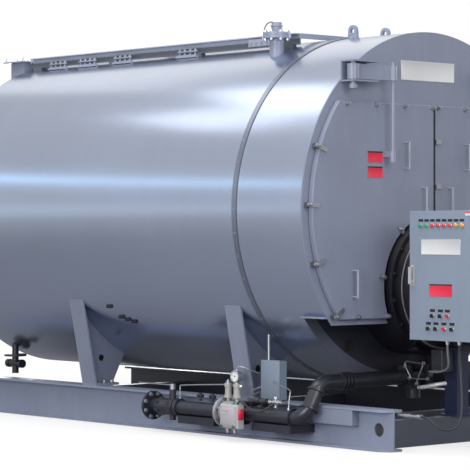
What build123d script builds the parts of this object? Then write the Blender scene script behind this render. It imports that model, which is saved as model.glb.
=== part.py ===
from build123d import *
import os
from math import cos, radians, sin, sqrt, tan

# Packaged fire-tube boiler on a steel skid. Millimetres, +Z up, +X towards the smokebox doors.
# The origin is on the floor, under the middle of the skid's central cross member.
# "Left" is the -Y side, which carries the gas train.

# General fits
touch_gap = 0.3
running_gap = 6.0

# Drum and smokebox
front_x = 1930.0
jacket_r = 1365.0
drum_clear = 99.0
shell_wall = 90.0
shell_length = 4390.0
smokebox_depth = 260.0
head_thickness = 20.0
wrapper_wall = 20.0
plate = 12.0
floor_below_burner = 214.0
band_offset = 508.0
band_width = 50.0
band_thickness = 5.0

# Smokebox doors and their opening
door_rim = 65.0
door_thickness = 40.0
door_lap = 60.0
door_floor_lap = 18.0
door_edge = 6.0
lining_depth = 60.0
lining_clear = 25.0
collar_share = 109.0 / 273.0
collar_margin = 230.0

# Door clamps
clamp_reach = 14.0
clamp_width = 34.0
lug_height = 40.0
lug_depth = 24.0
lug_margin = 4.0
dog_thickness = 12.0
dog_inside = 70.0
dog_outside = 50.0
collar_dog_outside = 12.0
collar_bolt_inset = 30.0
stud_dog_inside = 38.0
stud_dog_outside = 4.0
stud_inset = 17.0
clamp_bolt_r = 8.0
clamp_bolt_end = 8.0
clamp_nut_r = 15.0
clamp_nut_height = 20.0
arc_clamps = 4
arc_clamp_top = 20.3
arc_clamp_bottom = -37.0
top_clamps = 4
top_clamp_corner = 78.0
top_clamp_seam = 30.0
bottom_clamp_margin = 22.0
collar_clamp_angles = (131.0, 172.0)
seam_clamp_length = 58.0
seam_clamp_drops = (298.0, 641.0)

# Door handles
handle_r = 8.0
handle_stand_r = 7.0
handle_stand = 52.0
handle_length = 195.0
handle_low = 168.0
handle_edge = 242.0
handle_middle_y = 335.0
handle_middle_rise = 28.0
handle_seam_y = 145.0
handle_seam_rise = 10.0

# Davits
davit_pin_x = 90.0
davit_pin_y = 925.0
davit_pin_r = 20.0
davit_pin_drop = 50.0
davit_pin_head = 30.0
davit_arm_y = 548.0
davit_arm_x = 130.0
davit_rod_r = 12.5
davit_rod_head = 25.0
davit_rod_foot = 40.0
davit_eye_r = 45.0
davit_seat = 225.0
davit_door_gap = 144.0
davit_bracket_clear = 136.0
davit_bracket_inner_y = 706.0
davit_bracket_outer_y = 969.0
davit_bracket_reach = 140.0
davit_arm_height = 112.0
davit_arm_width = 30.0
hanger_drop = 408.0
hanger_height = 45.0
hanger_width = 44.0

# Burner
drum_fit = 15.0
drum_reach = 100.0
drum_ring_step = 40.0
drum_ring_length = 50.0
housing_step = 25.0
housing_length = 330.0
housing_lip = 25.0
housing_lip_t = 20.0
fan_step = 25.0
fan_length = 300.0
fan_round = 60.0
motor_r = 150.0
motor_length = 260.0
motor_fins = 20
motor_fin_height = 20.0
motor_fin_width = 6.0
motor_cowl = 70.0
motor_box = 110.0
post_size = 127.0
post_foot = 12.0
post_foot_rim = 40.0

# Control panel
panel_x = 450.0
panel_width = 730.0
panel_height = 944.0
panel_drop = 371.0
panel_face_y = 700.0
panel_depth = 180.0
panel_wall = 4.0
panel_door_thickness = 14.0
panel_door_round = 3.0
hinge_offset = 10.0
hinge_r = 9.0
hinge_pin_r = 5.0
hinge_length = 60.0
hinge_inset = 120.0
hinge_leaf = 30.0
latch_inset = 35.0
latch_rise = 396.0
latch_length = 150.0
latch_width = 28.0
latch_plate = 12.0
latch_stand = 28.0
latch_boss_r = 12.0
bracket_setback = 80.0
bracket_size = 50.0
bracket_rises = (283.0, 472.0)

# Skid
rail_depth = 305.0
rail_flange = 165.0
rail_flange_t = 18.0
rail_web = 12.0
rail_y = 932.5
skid_reach = 520.0
skid_overhang = 180.0
rail_nose = 134.0
pull_hole_r = 50.0
pull_hole_inset = 151.0
cross_depth = 203.0
cross_flange = 75.0
cross_wall = 12.0
rear_cross_inset = 600.0
front_cross_setback = 207.0
front_beam_reach = 320.0
front_beam_width = 100.0
cover_setback = 247.0
cover_length = 414.0
cover_height = 112.0
cover_z = 173.0
cover_round = 4.0

# Legs
front_leg_setback = 1010.0
rear_leg_inset = 1662.0
leg_width = 182.0
leg_plate = 16.0
leg_base = 20.0
leg_drop = 735.0
leg_foot_inset = 5.0
leg_foot_width = 250.0
leg_inner_y = 637.0
leg_hole_r = 28.0

# Gas train
gas_stand_off = 135.0
gas_z = 208.0
pipe_r = 57.15
pipe_bore_r = 51.0
flange_r = 114.5
flange_t = 24.0
flange_pcd = 190.5
flange_hole_r = 9.5
flange_holes = 8
inlet_x = -45.0
cock_x = 54.0
cock_length = 186.0
cock_r = 74.0
cock_body_r = 66.0
cock_hex = 44.0
cock_plug = 104.0
stem_x = 210.0
stem_r = 12.0
stem_boss_r = 27.0
stem_rise = 190.0
lever_rise = 170.0
lever_length = 410.0
lever_width = 26.0
lever_t = 8.0
lever_hub = 30.0
union_length = 70.0
union_rim = 14.0
valve_x = 822.0
valve_length = 238.0
valve_body_r = 90.0
valve_neck = 28.0
valve_shoulder = 38.0
tail_r = 84.0
tail_pcd = 140.0
tail_holes = 4
actuator_x = 134.0
actuator_width = 200.0
actuator_depth = 66.0
actuator_drop = 108.0
actuator_rise = 77.0
actuator_round = 14.0
actuator_saddle = 50.0
actuator_saddle_height = 90.0
regulator_r = 33.0
regulator_waist_r = 27.0
regulator_neck_r = 15.0
regulator_cap = 24.0
regulator_rise = 222.0
regulator_base = 112.0
regulator_places = (57.0, 157.0)
gauge_rise = 280.0
gauge_r = 42.0
gauge_depth = 40.0
gauge_bezel = 5.0
gauge_stem_r = 10.0
riser_setback = 190.0
riser_offset = 67.5
riser_rise = 266.0
elbow_r = 120.0
coupling_y = 700.0
coupling_ribs = 4
coupling_pitch = 34.0
coupling_rib = 16.0
coupling_rim = 11.0
throttle_y = 100.0
throttle_length = 213.0
throttle_depth = 130.0
throttle_height = 180.0
throttle_flange = 24.0
throttle_body_r = 60.0
throttle_cover_r = 52.0
throttle_cover_drop = 165.0
burner_gas_y = 290.0
burner_gas_bend = 100.0
burner_gas_end = 100.0
shelf_places = (320.0, 1190.0)
shelf_length = 430.0
shelf_plate = 10.0
shelf_height = 60.0
shelf_front = 40.0
servo_width = 120.0
servo_depth = 136.0
servo_height = 165.0
servo_z = 540.0
servo_setback = 21.0
servo_round = 10.0

# Junction box and conduits
junction_setback = 834.0
junction_width = 203.0
junction_height = 298.0
junction_depth = 75.0
junction_stand = 67.5
junction_foot = 10.0
junction_foot_inset = 20.0
junction_round = 4.0
conduit_r = 11.0
conduit_inset = 40.0
skid_tube_r = 13.0
skid_tube_drop = 37.0
skid_tube_inset = 36.5
skid_tube_back = 1900.0
skid_tube_reach = 235.0
skid_tube_collar = 5.0
skid_tube_collar_length = 45.0
saddle_width = 30.0
saddle_setbacks = (100.0, 430.0)
cord_r = 8.5

# Top of the drum
nozzle_setback = 1105.0
nozzle_y = 595.0
nozzle_stand = 127.5
nozzle_bore = 80.0
lift_setback = 666.0
lift_y = 180.0
lift_eye_r = 22.0
lift_eye_rise = 45.0
lift_rim_r = 46.0
lift_base = 100.0
lift_plate = 24.0
lift_gusset = 80.0
top_rail_y = 430.0
top_rail_depth = 90.0
top_rail_width = 50.0
top_rail_wall = 8.0
top_rail_seat = 18.5
top_rail_setback = 1030.0
top_rail_end = 70.0
top_rail_feet = 4
top_rail_foot = 120.0
top_rail_foot_inset = 110.0
eye_plate = 45.0
eye_plate_inset = 20.0
eye_hole_r = 15.0
cross_beams = 3
cross_beam_depth = 36.0

# Rear end
rear_box_r = 1230.0
rear_box_length = 260.0
rear_box_edge = 20.0
flue_length = 200.0
flue_width = 900.0
flue_rise = 22.0
flue_wall = 6.0
flue_flange = 50.0
flue_flange_t = 10.0
rear_door_r = 330.0
rear_door_t = 30.0
rear_door_step = 60.0
blowdown_inset = 112.0
blowdown_y = 650.0
blowdown_r = 30.0
blowdown_flange_r = 100.0
blowdown_flange_t = 20.0
blowdown_cross_z = 408.0
blowdown_cross = 222.0
blowdown_boss_r = 38.0
blowdown_boss = 40.0
blowdown_flange_rise = 65.0
blowdown_bottom = 320.0


def half_chord(radius, rise):
    """Half the width of a circle at a height above or below its centre."""
    return sqrt(radius**2 - rise**2)


# Places worked out from the sizes above
left = -1
right = 1
axis_z = rail_depth + drum_clear + jacket_r
shell_front_x = front_x - smokebox_depth
shell_back_x = shell_front_x - shell_length
shell_inner_r = jacket_r - shell_wall
wrapper_inner_r = jacket_r - wrapper_wall
collar_r = jacket_r * collar_share
drum_r = collar_r - drum_fit
drum_ring_r = drum_r - drum_ring_step
housing_r = drum_ring_r - housing_step
fan_r = housing_r - fan_step
burner_z = axis_z - (jacket_r - collar_r - collar_margin)
floor_z = burner_z - floor_below_burner
door_r = jacket_r - door_rim
opening_r = door_r - door_lap
door_x = front_x + running_gap
door_face_x = door_x + door_thickness
door_bottom_z = floor_z - door_floor_lap
davit_bracket_z = axis_z + half_chord(jacket_r, davit_bracket_inner_y) - davit_seat
door_top_z = davit_bracket_z - davit_door_gap
hanger_z = door_top_z - hanger_drop
seam_half = running_gap / 2
cutout_r = collar_r + running_gap
cutout_top_z = burner_z + cutout_r
plate_bottom_z = door_bottom_z - clamp_reach - lug_depth - lug_margin
pin_x = front_x + davit_pin_x
rod_x = front_x + davit_arm_x
arm_z = davit_bracket_z + plate + running_gap
skid_front = front_x + skid_reach
skid_back = shell_back_x - skid_overhang
rail_inner_y = rail_y - rail_web / 2
rail_outer_y = rail_y + rail_web / 2
rail_edge_y = rail_y + rail_flange / 2
front_beam_x = front_x + front_beam_reach
drum_face_x = front_x + drum_reach
ring_face_x = drum_face_x + drum_ring_length
housing_face_x = ring_face_x + housing_length
fan_face_x = housing_face_x + fan_length
post_x = front_beam_x - front_beam_width / 2
panel_bottom_z = burner_z - panel_drop
panel_back_x = front_x + panel_x
panel_front_x = panel_back_x + panel_width
panel_top_z = panel_bottom_z + panel_height
panel_door_y = panel_face_y - panel_door_thickness
cabinet_face_y = panel_door_y - running_gap
cabinet_back_y = cabinet_face_y - panel_depth
hinge_x = panel_front_x + hinge_offset
hinge_y = panel_face_y - panel_door_thickness / 2
gas_y = rail_edge_y + gas_stand_off
lever_z = gas_z + lever_rise
valve_end_x = valve_x + valve_length
riser_x = front_x - riser_setback
riser_y = rail_y + riser_offset
riser_z = gas_z + riser_rise
throttle_end_y = throttle_length - throttle_y
junction_x = front_x - junction_setback
junction_face_y = rail_y + junction_stand
nozzle_x = front_x - nozzle_setback
nozzle_flange_z = axis_z + half_chord(jacket_r, nozzle_y) + nozzle_stand
lift_x = front_x - lift_setback
top_rail_z = axis_z + half_chord(jacket_r, top_rail_y) + top_rail_seat
top_rail_front = front_x - top_rail_setback
top_rail_back = shell_back_x + top_rail_end
rear_face_x = shell_back_x - rear_box_length

os.makedirs("parts", exist_ok=True)


def save(builder, name):
    """Label a finished piece and write it."""
    builder.part.label = name
    export_step(builder.part, f"parts/{name}.step")


def bar(start, stop, radius, mode=Mode.ADD):
    """Add a round bar between two points to the piece being built."""
    axis = Vector(*stop) - Vector(*start)
    with Locations(Plane(origin=start, z_dir=axis)):
        Cylinder(radius, axis.length, align=(Align.CENTER, Align.CENTER, Align.MIN), mode=mode)


def block(low, high, mode=Mode.ADD):
    """Add a rectangular block between two corners to the piece being built."""
    size = [top - base for base, top in zip(low, high)]
    with Locations(Vector(*low)):
        Box(*size, align=(Align.MIN, Align.MIN, Align.MIN), mode=mode)


def bolt_flange(start, direction, rim=flange_r, circle=flange_pcd, holes=flange_holes):
    """Add a drilled pipe flange whose face starts at a point and whose body follows a direction."""
    face = Plane(origin=start, z_dir=direction)
    with Locations(face):
        Cylinder(rim, flange_t, align=(Align.CENTER, Align.CENTER, Align.MIN))
    with Locations(face):
        with PolarLocations(circle / 2, holes, 180 / holes):
            Cylinder(flange_hole_r, 3 * flange_t, mode=Mode.SUBTRACT)


def turned(base, direction, steps):
    """Add a turned piece: a stack of round steps, each a (length, radius) pair, from a base point."""
    start = Vector(*base)
    way = Vector(*direction).normalized()
    for length, radius in steps:
        stop = start + way * length
        bar(tuple(start), tuple(stop), radius)
        start = stop


def cut_drum():
    """Take the drum's round outside out of the piece being built, so that the piece seats on it."""
    bar((shell_back_x, 0, axis_z), (shell_front_x, 0, axis_z), jacket_r + touch_gap, Mode.SUBTRACT)


def mirrored(source):
    """Return the same piece on the other side of the centre line."""
    with BuildPart() as other_side:
        mirror(source.part, about=Plane.XZ)
    return other_side


# Skid rails

def skid_rail(side):
    """One wide-flange rail with a rounded nose and a pulling hole."""
    outer_y = side * rail_edge_y
    pocket = (rail_flange - rail_web) / 2
    with BuildPart() as rail:
        with BuildSketch(Plane.YZ.offset(skid_back)) as section:
            with Locations((side * rail_y, rail_depth / 2)):
                Rectangle(rail_flange, rail_depth)
            for offset in (-1, 1):
                with Locations((side * rail_y + offset * (rail_web + pocket) / 2, rail_depth / 2)):
                    Rectangle(pocket, rail_depth - 2 * rail_flange_t, mode=Mode.SUBTRACT)
        extrude(section.sketch, amount=skid_front - skid_back)
        with BuildSketch(Plane.XY) as nose:
            with BuildLine():
                nose_start = (skid_front - rail_nose, outer_y)
                nose_end = (skid_front, side * rail_outer_y)
                TangentArc(nose_start, nose_end, tangent=(1, 0))
                Polyline(nose_end, (skid_front, outer_y), nose_start)
            make_face()
        extrude(nose.sketch, amount=rail_depth, mode=Mode.SUBTRACT)
        with BuildSketch(Plane.XZ.offset(-side * rail_y)) as pull_hole:
            with Locations((skid_front - pull_hole_inset, rail_depth / 2)):
                Circle(pull_hole_r)
        extrude(pull_hole.sketch, amount=rail_web, both=True, mode=Mode.SUBTRACT)
    return rail


save(skid_rail(left), "skid_rail_left")
save(skid_rail(right), "skid_rail_right")


# Cross members and front beam

def channel_across(back_x, width):
    """Add a channel between the rail webs, coped over the rails' lower flanges."""
    with BuildSketch(Plane.XZ) as section:
        with Locations((back_x + width / 2, cross_depth / 2)):
            Rectangle(width, cross_depth)
        with Locations((back_x + (width - cross_wall) / 2, cross_depth / 2)):
            Rectangle(width - cross_wall, cross_depth - 2 * cross_wall, mode=Mode.SUBTRACT)
    extrude(section.sketch, amount=rail_inner_y, both=True)
    for side in (left, right):
        near = side * (rail_y - rail_flange / 2 - touch_gap)
        far = side * (rail_inner_y + 1)
        block(
            (back_x - 1, min(near, far), -1),
            (back_x + width + 1, max(near, far), rail_flange_t + touch_gap),
            Mode.SUBTRACT,
        )


with BuildPart() as skid_cross_members:
    for member_x in (shell_back_x + rear_cross_inset, -cross_flange / 2, front_x - front_cross_setback):
        channel_across(member_x, cross_flange)
save(skid_cross_members, "skid_cross_members")

with BuildPart() as skid_front_beam:
    channel_across(front_beam_x - front_beam_width, front_beam_width)
save(skid_front_beam, "skid_front_beam")

with BuildPart() as rail_cover_box:
    cover_x = front_x - cover_setback
    block(
        (cover_x, -rail_edge_y, cover_z),
        (cover_x + cover_length, -rail_outer_y, cover_z + cover_height),
    )
    fillet(rail_cover_box.edges().filter_by(Axis.Z).group_by(Axis.Y)[0], cover_round)
save(rail_cover_box, "rail_cover_box")


# Legs

def leg(side, x):
    """Add a bracket leg: sloping outer plate, web that follows the drum, foot plate on the rail."""
    leg_top_z = axis_z - leg_drop
    outer_top = half_chord(jacket_r, leg_drop)
    foot_y = rail_edge_y - leg_foot_inset
    foot_z = rail_depth + leg_base
    slope = (outer_top - foot_y) / (leg_top_z - foot_z)
    bury = shell_wall / 2
    inner_z = axis_z - half_chord(jacket_r, leg_inner_y)
    inner_foot = foot_y - leg_foot_width
    with BuildSketch(Plane.YZ.offset(x)) as outer_plate:
        with BuildLine():
            Polyline(
                (side * foot_y, foot_z),
                (side * (outer_top + slope * bury), leg_top_z + bury),
                (side * (outer_top + slope * bury - leg_plate), leg_top_z + bury),
                (side * (foot_y - leg_plate), foot_z),
                close=True,
            )
        make_face()
        with Locations((0, axis_z)):
            Circle(jacket_r + touch_gap, mode=Mode.SUBTRACT)
    extrude(outer_plate.sketch, amount=leg_width / 2, both=True)
    with BuildSketch(Plane.YZ.offset(x)) as web:
        with BuildLine():
            Polyline(
                (side * (foot_y - leg_plate / 2), foot_z),
                (side * (outer_top - leg_plate / 2), leg_top_z),
                (side * leg_inner_y, inner_z),
                (side * inner_foot, foot_z),
                close=True,
            )
        make_face()
        hole_y = (foot_y + inner_foot) / 2
        hole_z = (foot_z + inner_z) / 2 + leg_width / 2
        with Locations((side * hole_y, hole_z)):
            Circle(leg_hole_r, mode=Mode.SUBTRACT)
        with Locations((0, axis_z)):
            Circle(jacket_r + touch_gap, mode=Mode.SUBTRACT)
    extrude(web.sketch, amount=leg_plate / 2, both=True)
    with BuildSketch(Plane.XY.offset(rail_depth)) as foot:
        with Locations((x, side * (foot_y - leg_foot_width / 2))):
            Rectangle(leg_width, leg_foot_width)
    extrude(foot.sketch, amount=leg_base)


leg_positions = {"front": front_x - front_leg_setback, "rear": shell_back_x + rear_leg_inset}

for place, leg_x in leg_positions.items():
    with BuildPart() as pair:
        leg(left, leg_x)
        leg(right, leg_x)
    save(pair, f"{place}_legs")


# Drum

with BuildPart() as boiler_shell:
    with BuildSketch(Plane.YZ.offset(shell_back_x)):
        with Locations((0, axis_z)):
            Circle(jacket_r)
            Circle(shell_inner_r, mode=Mode.SUBTRACT)
    extrude(amount=shell_length)
save(boiler_shell, "boiler_shell")

with BuildPart() as shell_band:
    with BuildSketch(Plane.YZ.offset(shell_front_x - band_offset)):
        with Locations((0, axis_z)):
            Circle(jacket_r + touch_gap + band_thickness)
            Circle(jacket_r + touch_gap, mode=Mode.SUBTRACT)
    extrude(amount=band_width)
save(shell_band, "shell_band")


def drum_head(face_x):
    """Flat head that closes one end of the drum."""
    with BuildPart() as head:
        with BuildSketch(Plane.YZ.offset(face_x)):
            with Locations((0, axis_z)):
                Circle(shell_inner_r - touch_gap)
        extrude(amount=head_thickness)
    return head


save(drum_head(shell_front_x - head_thickness), "front_head")
save(drum_head(shell_back_x), "rear_head")


# Smokebox

with BuildPart() as smokebox_wrapper:
    with BuildSketch(Plane.YZ.offset(shell_front_x)):
        with Locations((0, axis_z)):
            Circle(jacket_r)
            Circle(wrapper_inner_r, mode=Mode.SUBTRACT)
        with Locations((0, floor_z - plate)):
            Rectangle(2 * jacket_r, jacket_r, align=(Align.CENTER, Align.MAX), mode=Mode.SUBTRACT)
    extrude(amount=smokebox_depth - plate)
save(smokebox_wrapper, "smokebox_wrapper")

with BuildPart() as smokebox_floor:
    with BuildSketch(Plane.YZ.offset(shell_front_x)):
        with Locations((0, floor_z)):
            Rectangle(2 * jacket_r, plate, align=(Align.CENTER, Align.MAX))
        with Locations((0, burner_z)):
            Circle(collar_r + plate)
            Circle(collar_r, mode=Mode.SUBTRACT)
        with Locations((0, axis_z)):
            Circle(wrapper_inner_r - touch_gap, mode=Mode.INTERSECT)
        with Locations((0, floor_z - plate)):
            Rectangle(2 * jacket_r, jacket_r, align=(Align.CENTER, Align.MAX), mode=Mode.SUBTRACT)
    extrude(amount=smokebox_depth - plate)
save(smokebox_floor, "smokebox_floor")

with BuildPart() as smokebox_front_plate:
    with BuildSketch(Plane.YZ.offset(front_x - plate)):
        with Locations((0, axis_z)):
            Circle(jacket_r)
        with BuildSketch(mode=Mode.SUBTRACT):
            with Locations((0, axis_z)):
                Circle(opening_r)
            with Locations((0, door_bottom_z + door_lap)):
                Rectangle(
                    2 * jacket_r,
                    door_top_z - door_bottom_z - 2 * door_lap,
                    align=(Align.CENTER, Align.MIN),
                    mode=Mode.INTERSECT,
                )
            with Locations((0, burner_z)):
                Circle(collar_r + door_lap, mode=Mode.SUBTRACT)
        with Locations((0, burner_z)):
            Circle(collar_r, mode=Mode.SUBTRACT)
        with Locations((0, plate_bottom_z)):
            Rectangle(2 * jacket_r, jacket_r, align=(Align.CENTER, Align.MAX), mode=Mode.SUBTRACT)
    extrude(amount=plate)
save(smokebox_front_plate, "smokebox_front_plate")


# Davit brackets and arms

def davit_bracket(side):
    """Add two shelf plates, a back plate and the pin for one davit."""
    low_y = min(side * davit_bracket_inner_y, side * davit_bracket_outer_y)
    high_y = max(side * davit_bracket_inner_y, side * davit_bracket_outer_y)
    upper_z = davit_bracket_z + plate + davit_bracket_clear
    tip_x = front_x + davit_bracket_reach
    block((front_x, low_y, davit_bracket_z), (tip_x, high_y, davit_bracket_z + plate))
    block((front_x, low_y, upper_z), (tip_x, high_y, upper_z + plate))
    block((front_x, low_y, davit_bracket_z), (front_x + plate, high_y, upper_z + plate))
    pin_low = (pin_x, side * davit_pin_y, davit_bracket_z - davit_pin_drop)
    head_top = (pin_x, side * davit_pin_y, davit_bracket_z - davit_pin_drop + davit_pin_head)
    pin_high = (pin_x, side * davit_pin_y, upper_z + plate)
    bar(pin_low, pin_high, davit_pin_r)
    bar(pin_low, head_top, davit_pin_r * 1.5)
    bar(
        (pin_x, side * davit_pin_y, davit_bracket_z + plate),
        (pin_x, side * davit_pin_y, arm_z),
        davit_eye_r * 0.8,
    )


with BuildPart() as davit_brackets:
    davit_bracket(left)
    davit_bracket(right)
save(davit_brackets, "davit_brackets")

with BuildPart() as left_davit_arm:
    with BuildSketch(Plane.XY.offset(arm_z)):
        with BuildLine():
            Polyline(
                (pin_x, -davit_pin_y),
                (rod_x, -davit_arm_y),
            )
        trace(line_width=davit_arm_width)
        with Locations((pin_x, -davit_pin_y)):
            Circle(davit_eye_r)
        with Locations((rod_x, -davit_arm_y)):
            Circle(davit_arm_width)
        with Locations((pin_x, -davit_pin_y)):
            Circle(davit_pin_r + touch_gap, mode=Mode.SUBTRACT)
    extrude(amount=davit_arm_height)
    rod_foot = (rod_x, -davit_arm_y, hanger_z - davit_rod_foot)
    bar(rod_foot, (rod_x, -davit_arm_y, arm_z + davit_arm_height + davit_rod_head), davit_rod_r)
    bar(rod_foot, (rod_x, -davit_arm_y, hanger_z), davit_rod_r * 1.8)
save(left_davit_arm, "left_davit_arm")
save(mirrored(left_davit_arm), "right_davit_arm")


# Doors

with BuildPart() as left_door:
    with BuildSketch(Plane.YZ.offset(door_x)):
        with Locations((0, axis_z)):
            Circle(door_r)
        with Locations((-seam_half, door_bottom_z)):
            Rectangle(
                door_r,
                door_top_z - door_bottom_z,
                align=(Align.MAX, Align.MIN),
                mode=Mode.INTERSECT,
            )
        with Locations((0, burner_z)):
            Circle(cutout_r, mode=Mode.SUBTRACT)
    extrude(amount=door_thickness)
    chamfer(left_door.faces().sort_by(Axis.X)[-1].edges(), door_edge)
    inset = door_lap + lining_clear
    with BuildSketch(Plane.YZ.offset(front_x - lining_depth)):
        with Locations((0, axis_z)):
            Circle(opening_r - lining_clear)
        with Locations((-seam_half - lining_clear, door_bottom_z + inset)):
            Rectangle(
                door_r,
                door_top_z - door_bottom_z - 2 * inset,
                align=(Align.MAX, Align.MIN),
                mode=Mode.INTERSECT,
            )
        with Locations((0, burner_z)):
            Circle(collar_r + inset, mode=Mode.SUBTRACT)
    extrude(amount=lining_depth + running_gap)
save(left_door, "left_door")
save(mirrored(left_door), "right_door")


def arc_clamp_places():
    """Left-hand clamps on the round edge: a point on it and the way off the door, as (y, z) pairs."""
    places = []
    arc_pitch = (arc_clamp_top - arc_clamp_bottom) / (arc_clamps - 1)
    for index in range(arc_clamps):
        angle = radians(180 - arc_clamp_top + index * arc_pitch)
        way = (cos(angle), sin(angle))
        places.append(((door_r * way[0], axis_z + door_r * way[1]), way))
    return places


def stud_places():
    """Left-hand studs along the straight top and bottom edges, as (y, z) pairs."""
    places = []
    top_y = half_chord(door_r, door_top_z - axis_z) - top_clamp_corner
    top_pitch = (top_y - top_clamp_seam) / (top_clamps - 1)
    for index in range(top_clamps):
        places.append(((index * top_pitch - top_y, door_top_z), (0, 1)))
    corner_y = half_chord(door_r, axis_z - door_bottom_z)
    inner_y = half_chord(cutout_r, burner_z - door_bottom_z) + bottom_clamp_margin
    for step in (1, 3):
        places.append(((step * (corner_y - inner_y) / 3 - corner_y, door_bottom_z), (0, -1)))
    return places


def collar_clamp_places():
    """Left-hand clamps on the round cut-out, with the way off the door towards the burner."""
    places = []
    for angle in collar_clamp_angles:
        way = (-cos(radians(angle)), -sin(radians(angle)))
        places.append(((-cutout_r * way[0], burner_z - cutout_r * way[1]), way))
    return places


def clamp_plane(x, place, way):
    """Sketch plane at a clamp, whose x direction leads off the door."""
    return Plane(origin=(x, *place), x_dir=(0, *way), z_dir=(1, 0, 0))


def door_clamp(place, way, inside, outside, bolt_at, bolt_foot_x):
    """Add a dog that lies on the door's face, with its bolt and nut."""
    nut_x = door_face_x + dog_thickness
    bolt_top_x = nut_x + clamp_nut_height + clamp_bolt_end
    with BuildSketch(clamp_plane(door_face_x, place, way)) as dog:
        with Locations(((outside - inside) / 2, 0)):
            SlotOverall(inside + outside, clamp_width)
    extrude(dog.sketch, amount=dog_thickness)
    with BuildSketch(clamp_plane(nut_x, place, way)) as nut:
        with Locations((bolt_at, 0)):
            RegularPolygon(clamp_nut_r, 6)
    extrude(nut.sketch, amount=clamp_nut_height)
    with BuildSketch(clamp_plane(bolt_foot_x, place, way)) as bolt:
        with Locations((bolt_at, 0)):
            Circle(clamp_bolt_r)
    extrude(bolt.sketch, amount=bolt_top_x - bolt_foot_x)


with BuildPart() as left_door_clamps:
    lug_top_x = front_x + lug_height + touch_gap
    for clamp_place, clamp_way in arc_clamp_places():
        door_clamp(clamp_place, clamp_way, dog_inside, dog_outside, clamp_reach + lug_depth / 2, lug_top_x)
    for clamp_place, clamp_way in stud_places():
        door_clamp(clamp_place, clamp_way, stud_dog_inside, stud_dog_outside, -stud_inset, door_face_x)
    for clamp_place, clamp_way in collar_clamp_places():
        door_clamp(clamp_place, clamp_way, dog_inside, collar_dog_outside, -collar_bolt_inset, door_face_x)
save(left_door_clamps, "left_door_clamps")

with BuildPart() as right_door_clamps:
    mirror(left_door_clamps.part, about=Plane.XZ)
    for seam_drop in seam_clamp_drops:
        block(
            (door_face_x, seam_half, door_top_z - seam_drop),
            (door_face_x + dog_thickness, seam_half + seam_clamp_length, door_top_z - seam_drop + clamp_width),
        )
save(right_door_clamps, "right_door_clamps")

with BuildPart() as clamp_lugs:
    for clamp_place, clamp_way in arc_clamp_places():
        with BuildSketch(clamp_plane(front_x, clamp_place, clamp_way)):
            with Locations((clamp_reach, 0)):
                Rectangle(lug_depth, clamp_width, align=(Align.MIN, Align.CENTER))
        extrude(amount=lug_height)
    mirror(about=Plane.XZ)
save(clamp_lugs, "clamp_lugs")

with BuildPart() as left_door_hanger:
    with BuildSketch(Plane.XY.offset(hanger_z)):
        with Locations((door_face_x, -davit_arm_y)):
            Rectangle(rod_x - door_face_x, hanger_width, align=(Align.MIN, Align.CENTER))
        with Locations((rod_x, -davit_arm_y)):
            Circle(hanger_width / 2)
            Circle(davit_rod_r + touch_gap, mode=Mode.SUBTRACT)
    extrude(amount=hanger_height)
save(left_door_hanger, "left_door_hanger")
save(mirrored(left_door_hanger), "right_door_hanger")

low_handle_z = door_bottom_z + handle_low
low_handle_y = half_chord(door_r, axis_z - low_handle_z) - handle_edge
middle_handle_z = (cutout_top_z + door_top_z - handle_length) / 2 + handle_middle_rise
handle_places = (
    (-low_handle_y, low_handle_z),
    (-handle_middle_y, middle_handle_z),
    (-handle_seam_y, cutout_top_z + handle_seam_rise),
)

with BuildPart() as left_door_handles:
    for handle_y, handle_z in handle_places:
        grip_x = door_face_x + handle_stand
        top_z = handle_z + handle_length
        bar((door_face_x, handle_y, handle_z), (grip_x, handle_y, handle_z), handle_stand_r)
        bar((door_face_x, handle_y, top_z), (grip_x, handle_y, top_z), handle_stand_r)
        bar((grip_x, handle_y, handle_z - handle_r), (grip_x, handle_y, top_z + handle_r), handle_r)
save(left_door_handles, "left_door_handles")
save(mirrored(left_door_handles), "right_door_handles")


# Burner

with BuildPart() as burner_drum:
    bar((shell_front_x, 0, burner_z), (drum_face_x, 0, burner_z), drum_r)
    bar((drum_face_x, 0, burner_z), (ring_face_x, 0, burner_z), drum_ring_r)
save(burner_drum, "burner_drum")

with BuildPart() as burner_housing:
    bar((ring_face_x, 0, burner_z), (housing_face_x, 0, burner_z), housing_r)
    bar(
        (housing_face_x - housing_lip_t, 0, burner_z),
        (housing_face_x, 0, burner_z),
        housing_r + housing_lip,
    )
save(burner_housing, "burner_housing")

with BuildPart() as burner_fan_casing:
    bar((housing_face_x, 0, burner_z), (fan_face_x, 0, burner_z), fan_r)
    fillet(burner_fan_casing.edges().group_by(Axis.X)[-1], fan_round)
save(burner_fan_casing, "burner_fan_casing")

with BuildPart() as burner_motor:
    cowl_x = fan_face_x + motor_length - motor_cowl
    motor_middle = (fan_face_x + cowl_x) / 2
    bar((fan_face_x, 0, burner_z), (cowl_x, 0, burner_z), motor_r)
    with Locations(Plane(origin=(motor_middle, 0, burner_z), z_dir=(1, 0, 0))):
        with PolarLocations(motor_r, motor_fins):
            Box(2 * motor_fin_height, motor_fin_width, cowl_x - fan_face_x)
    bar(
        (cowl_x, 0, burner_z),
        (cowl_x + motor_cowl, 0, burner_z),
        motor_r + motor_fin_height,
    )
    chamfer(burner_motor.edges().group_by(Axis.X)[-1], motor_fin_height)
    block(
        (motor_middle - motor_box / 2, -motor_box / 2, burner_z + motor_r / 2),
        (motor_middle + motor_box / 2, motor_box / 2, burner_z + motor_r + motor_box / 2),
    )
save(burner_motor, "burner_motor")

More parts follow.
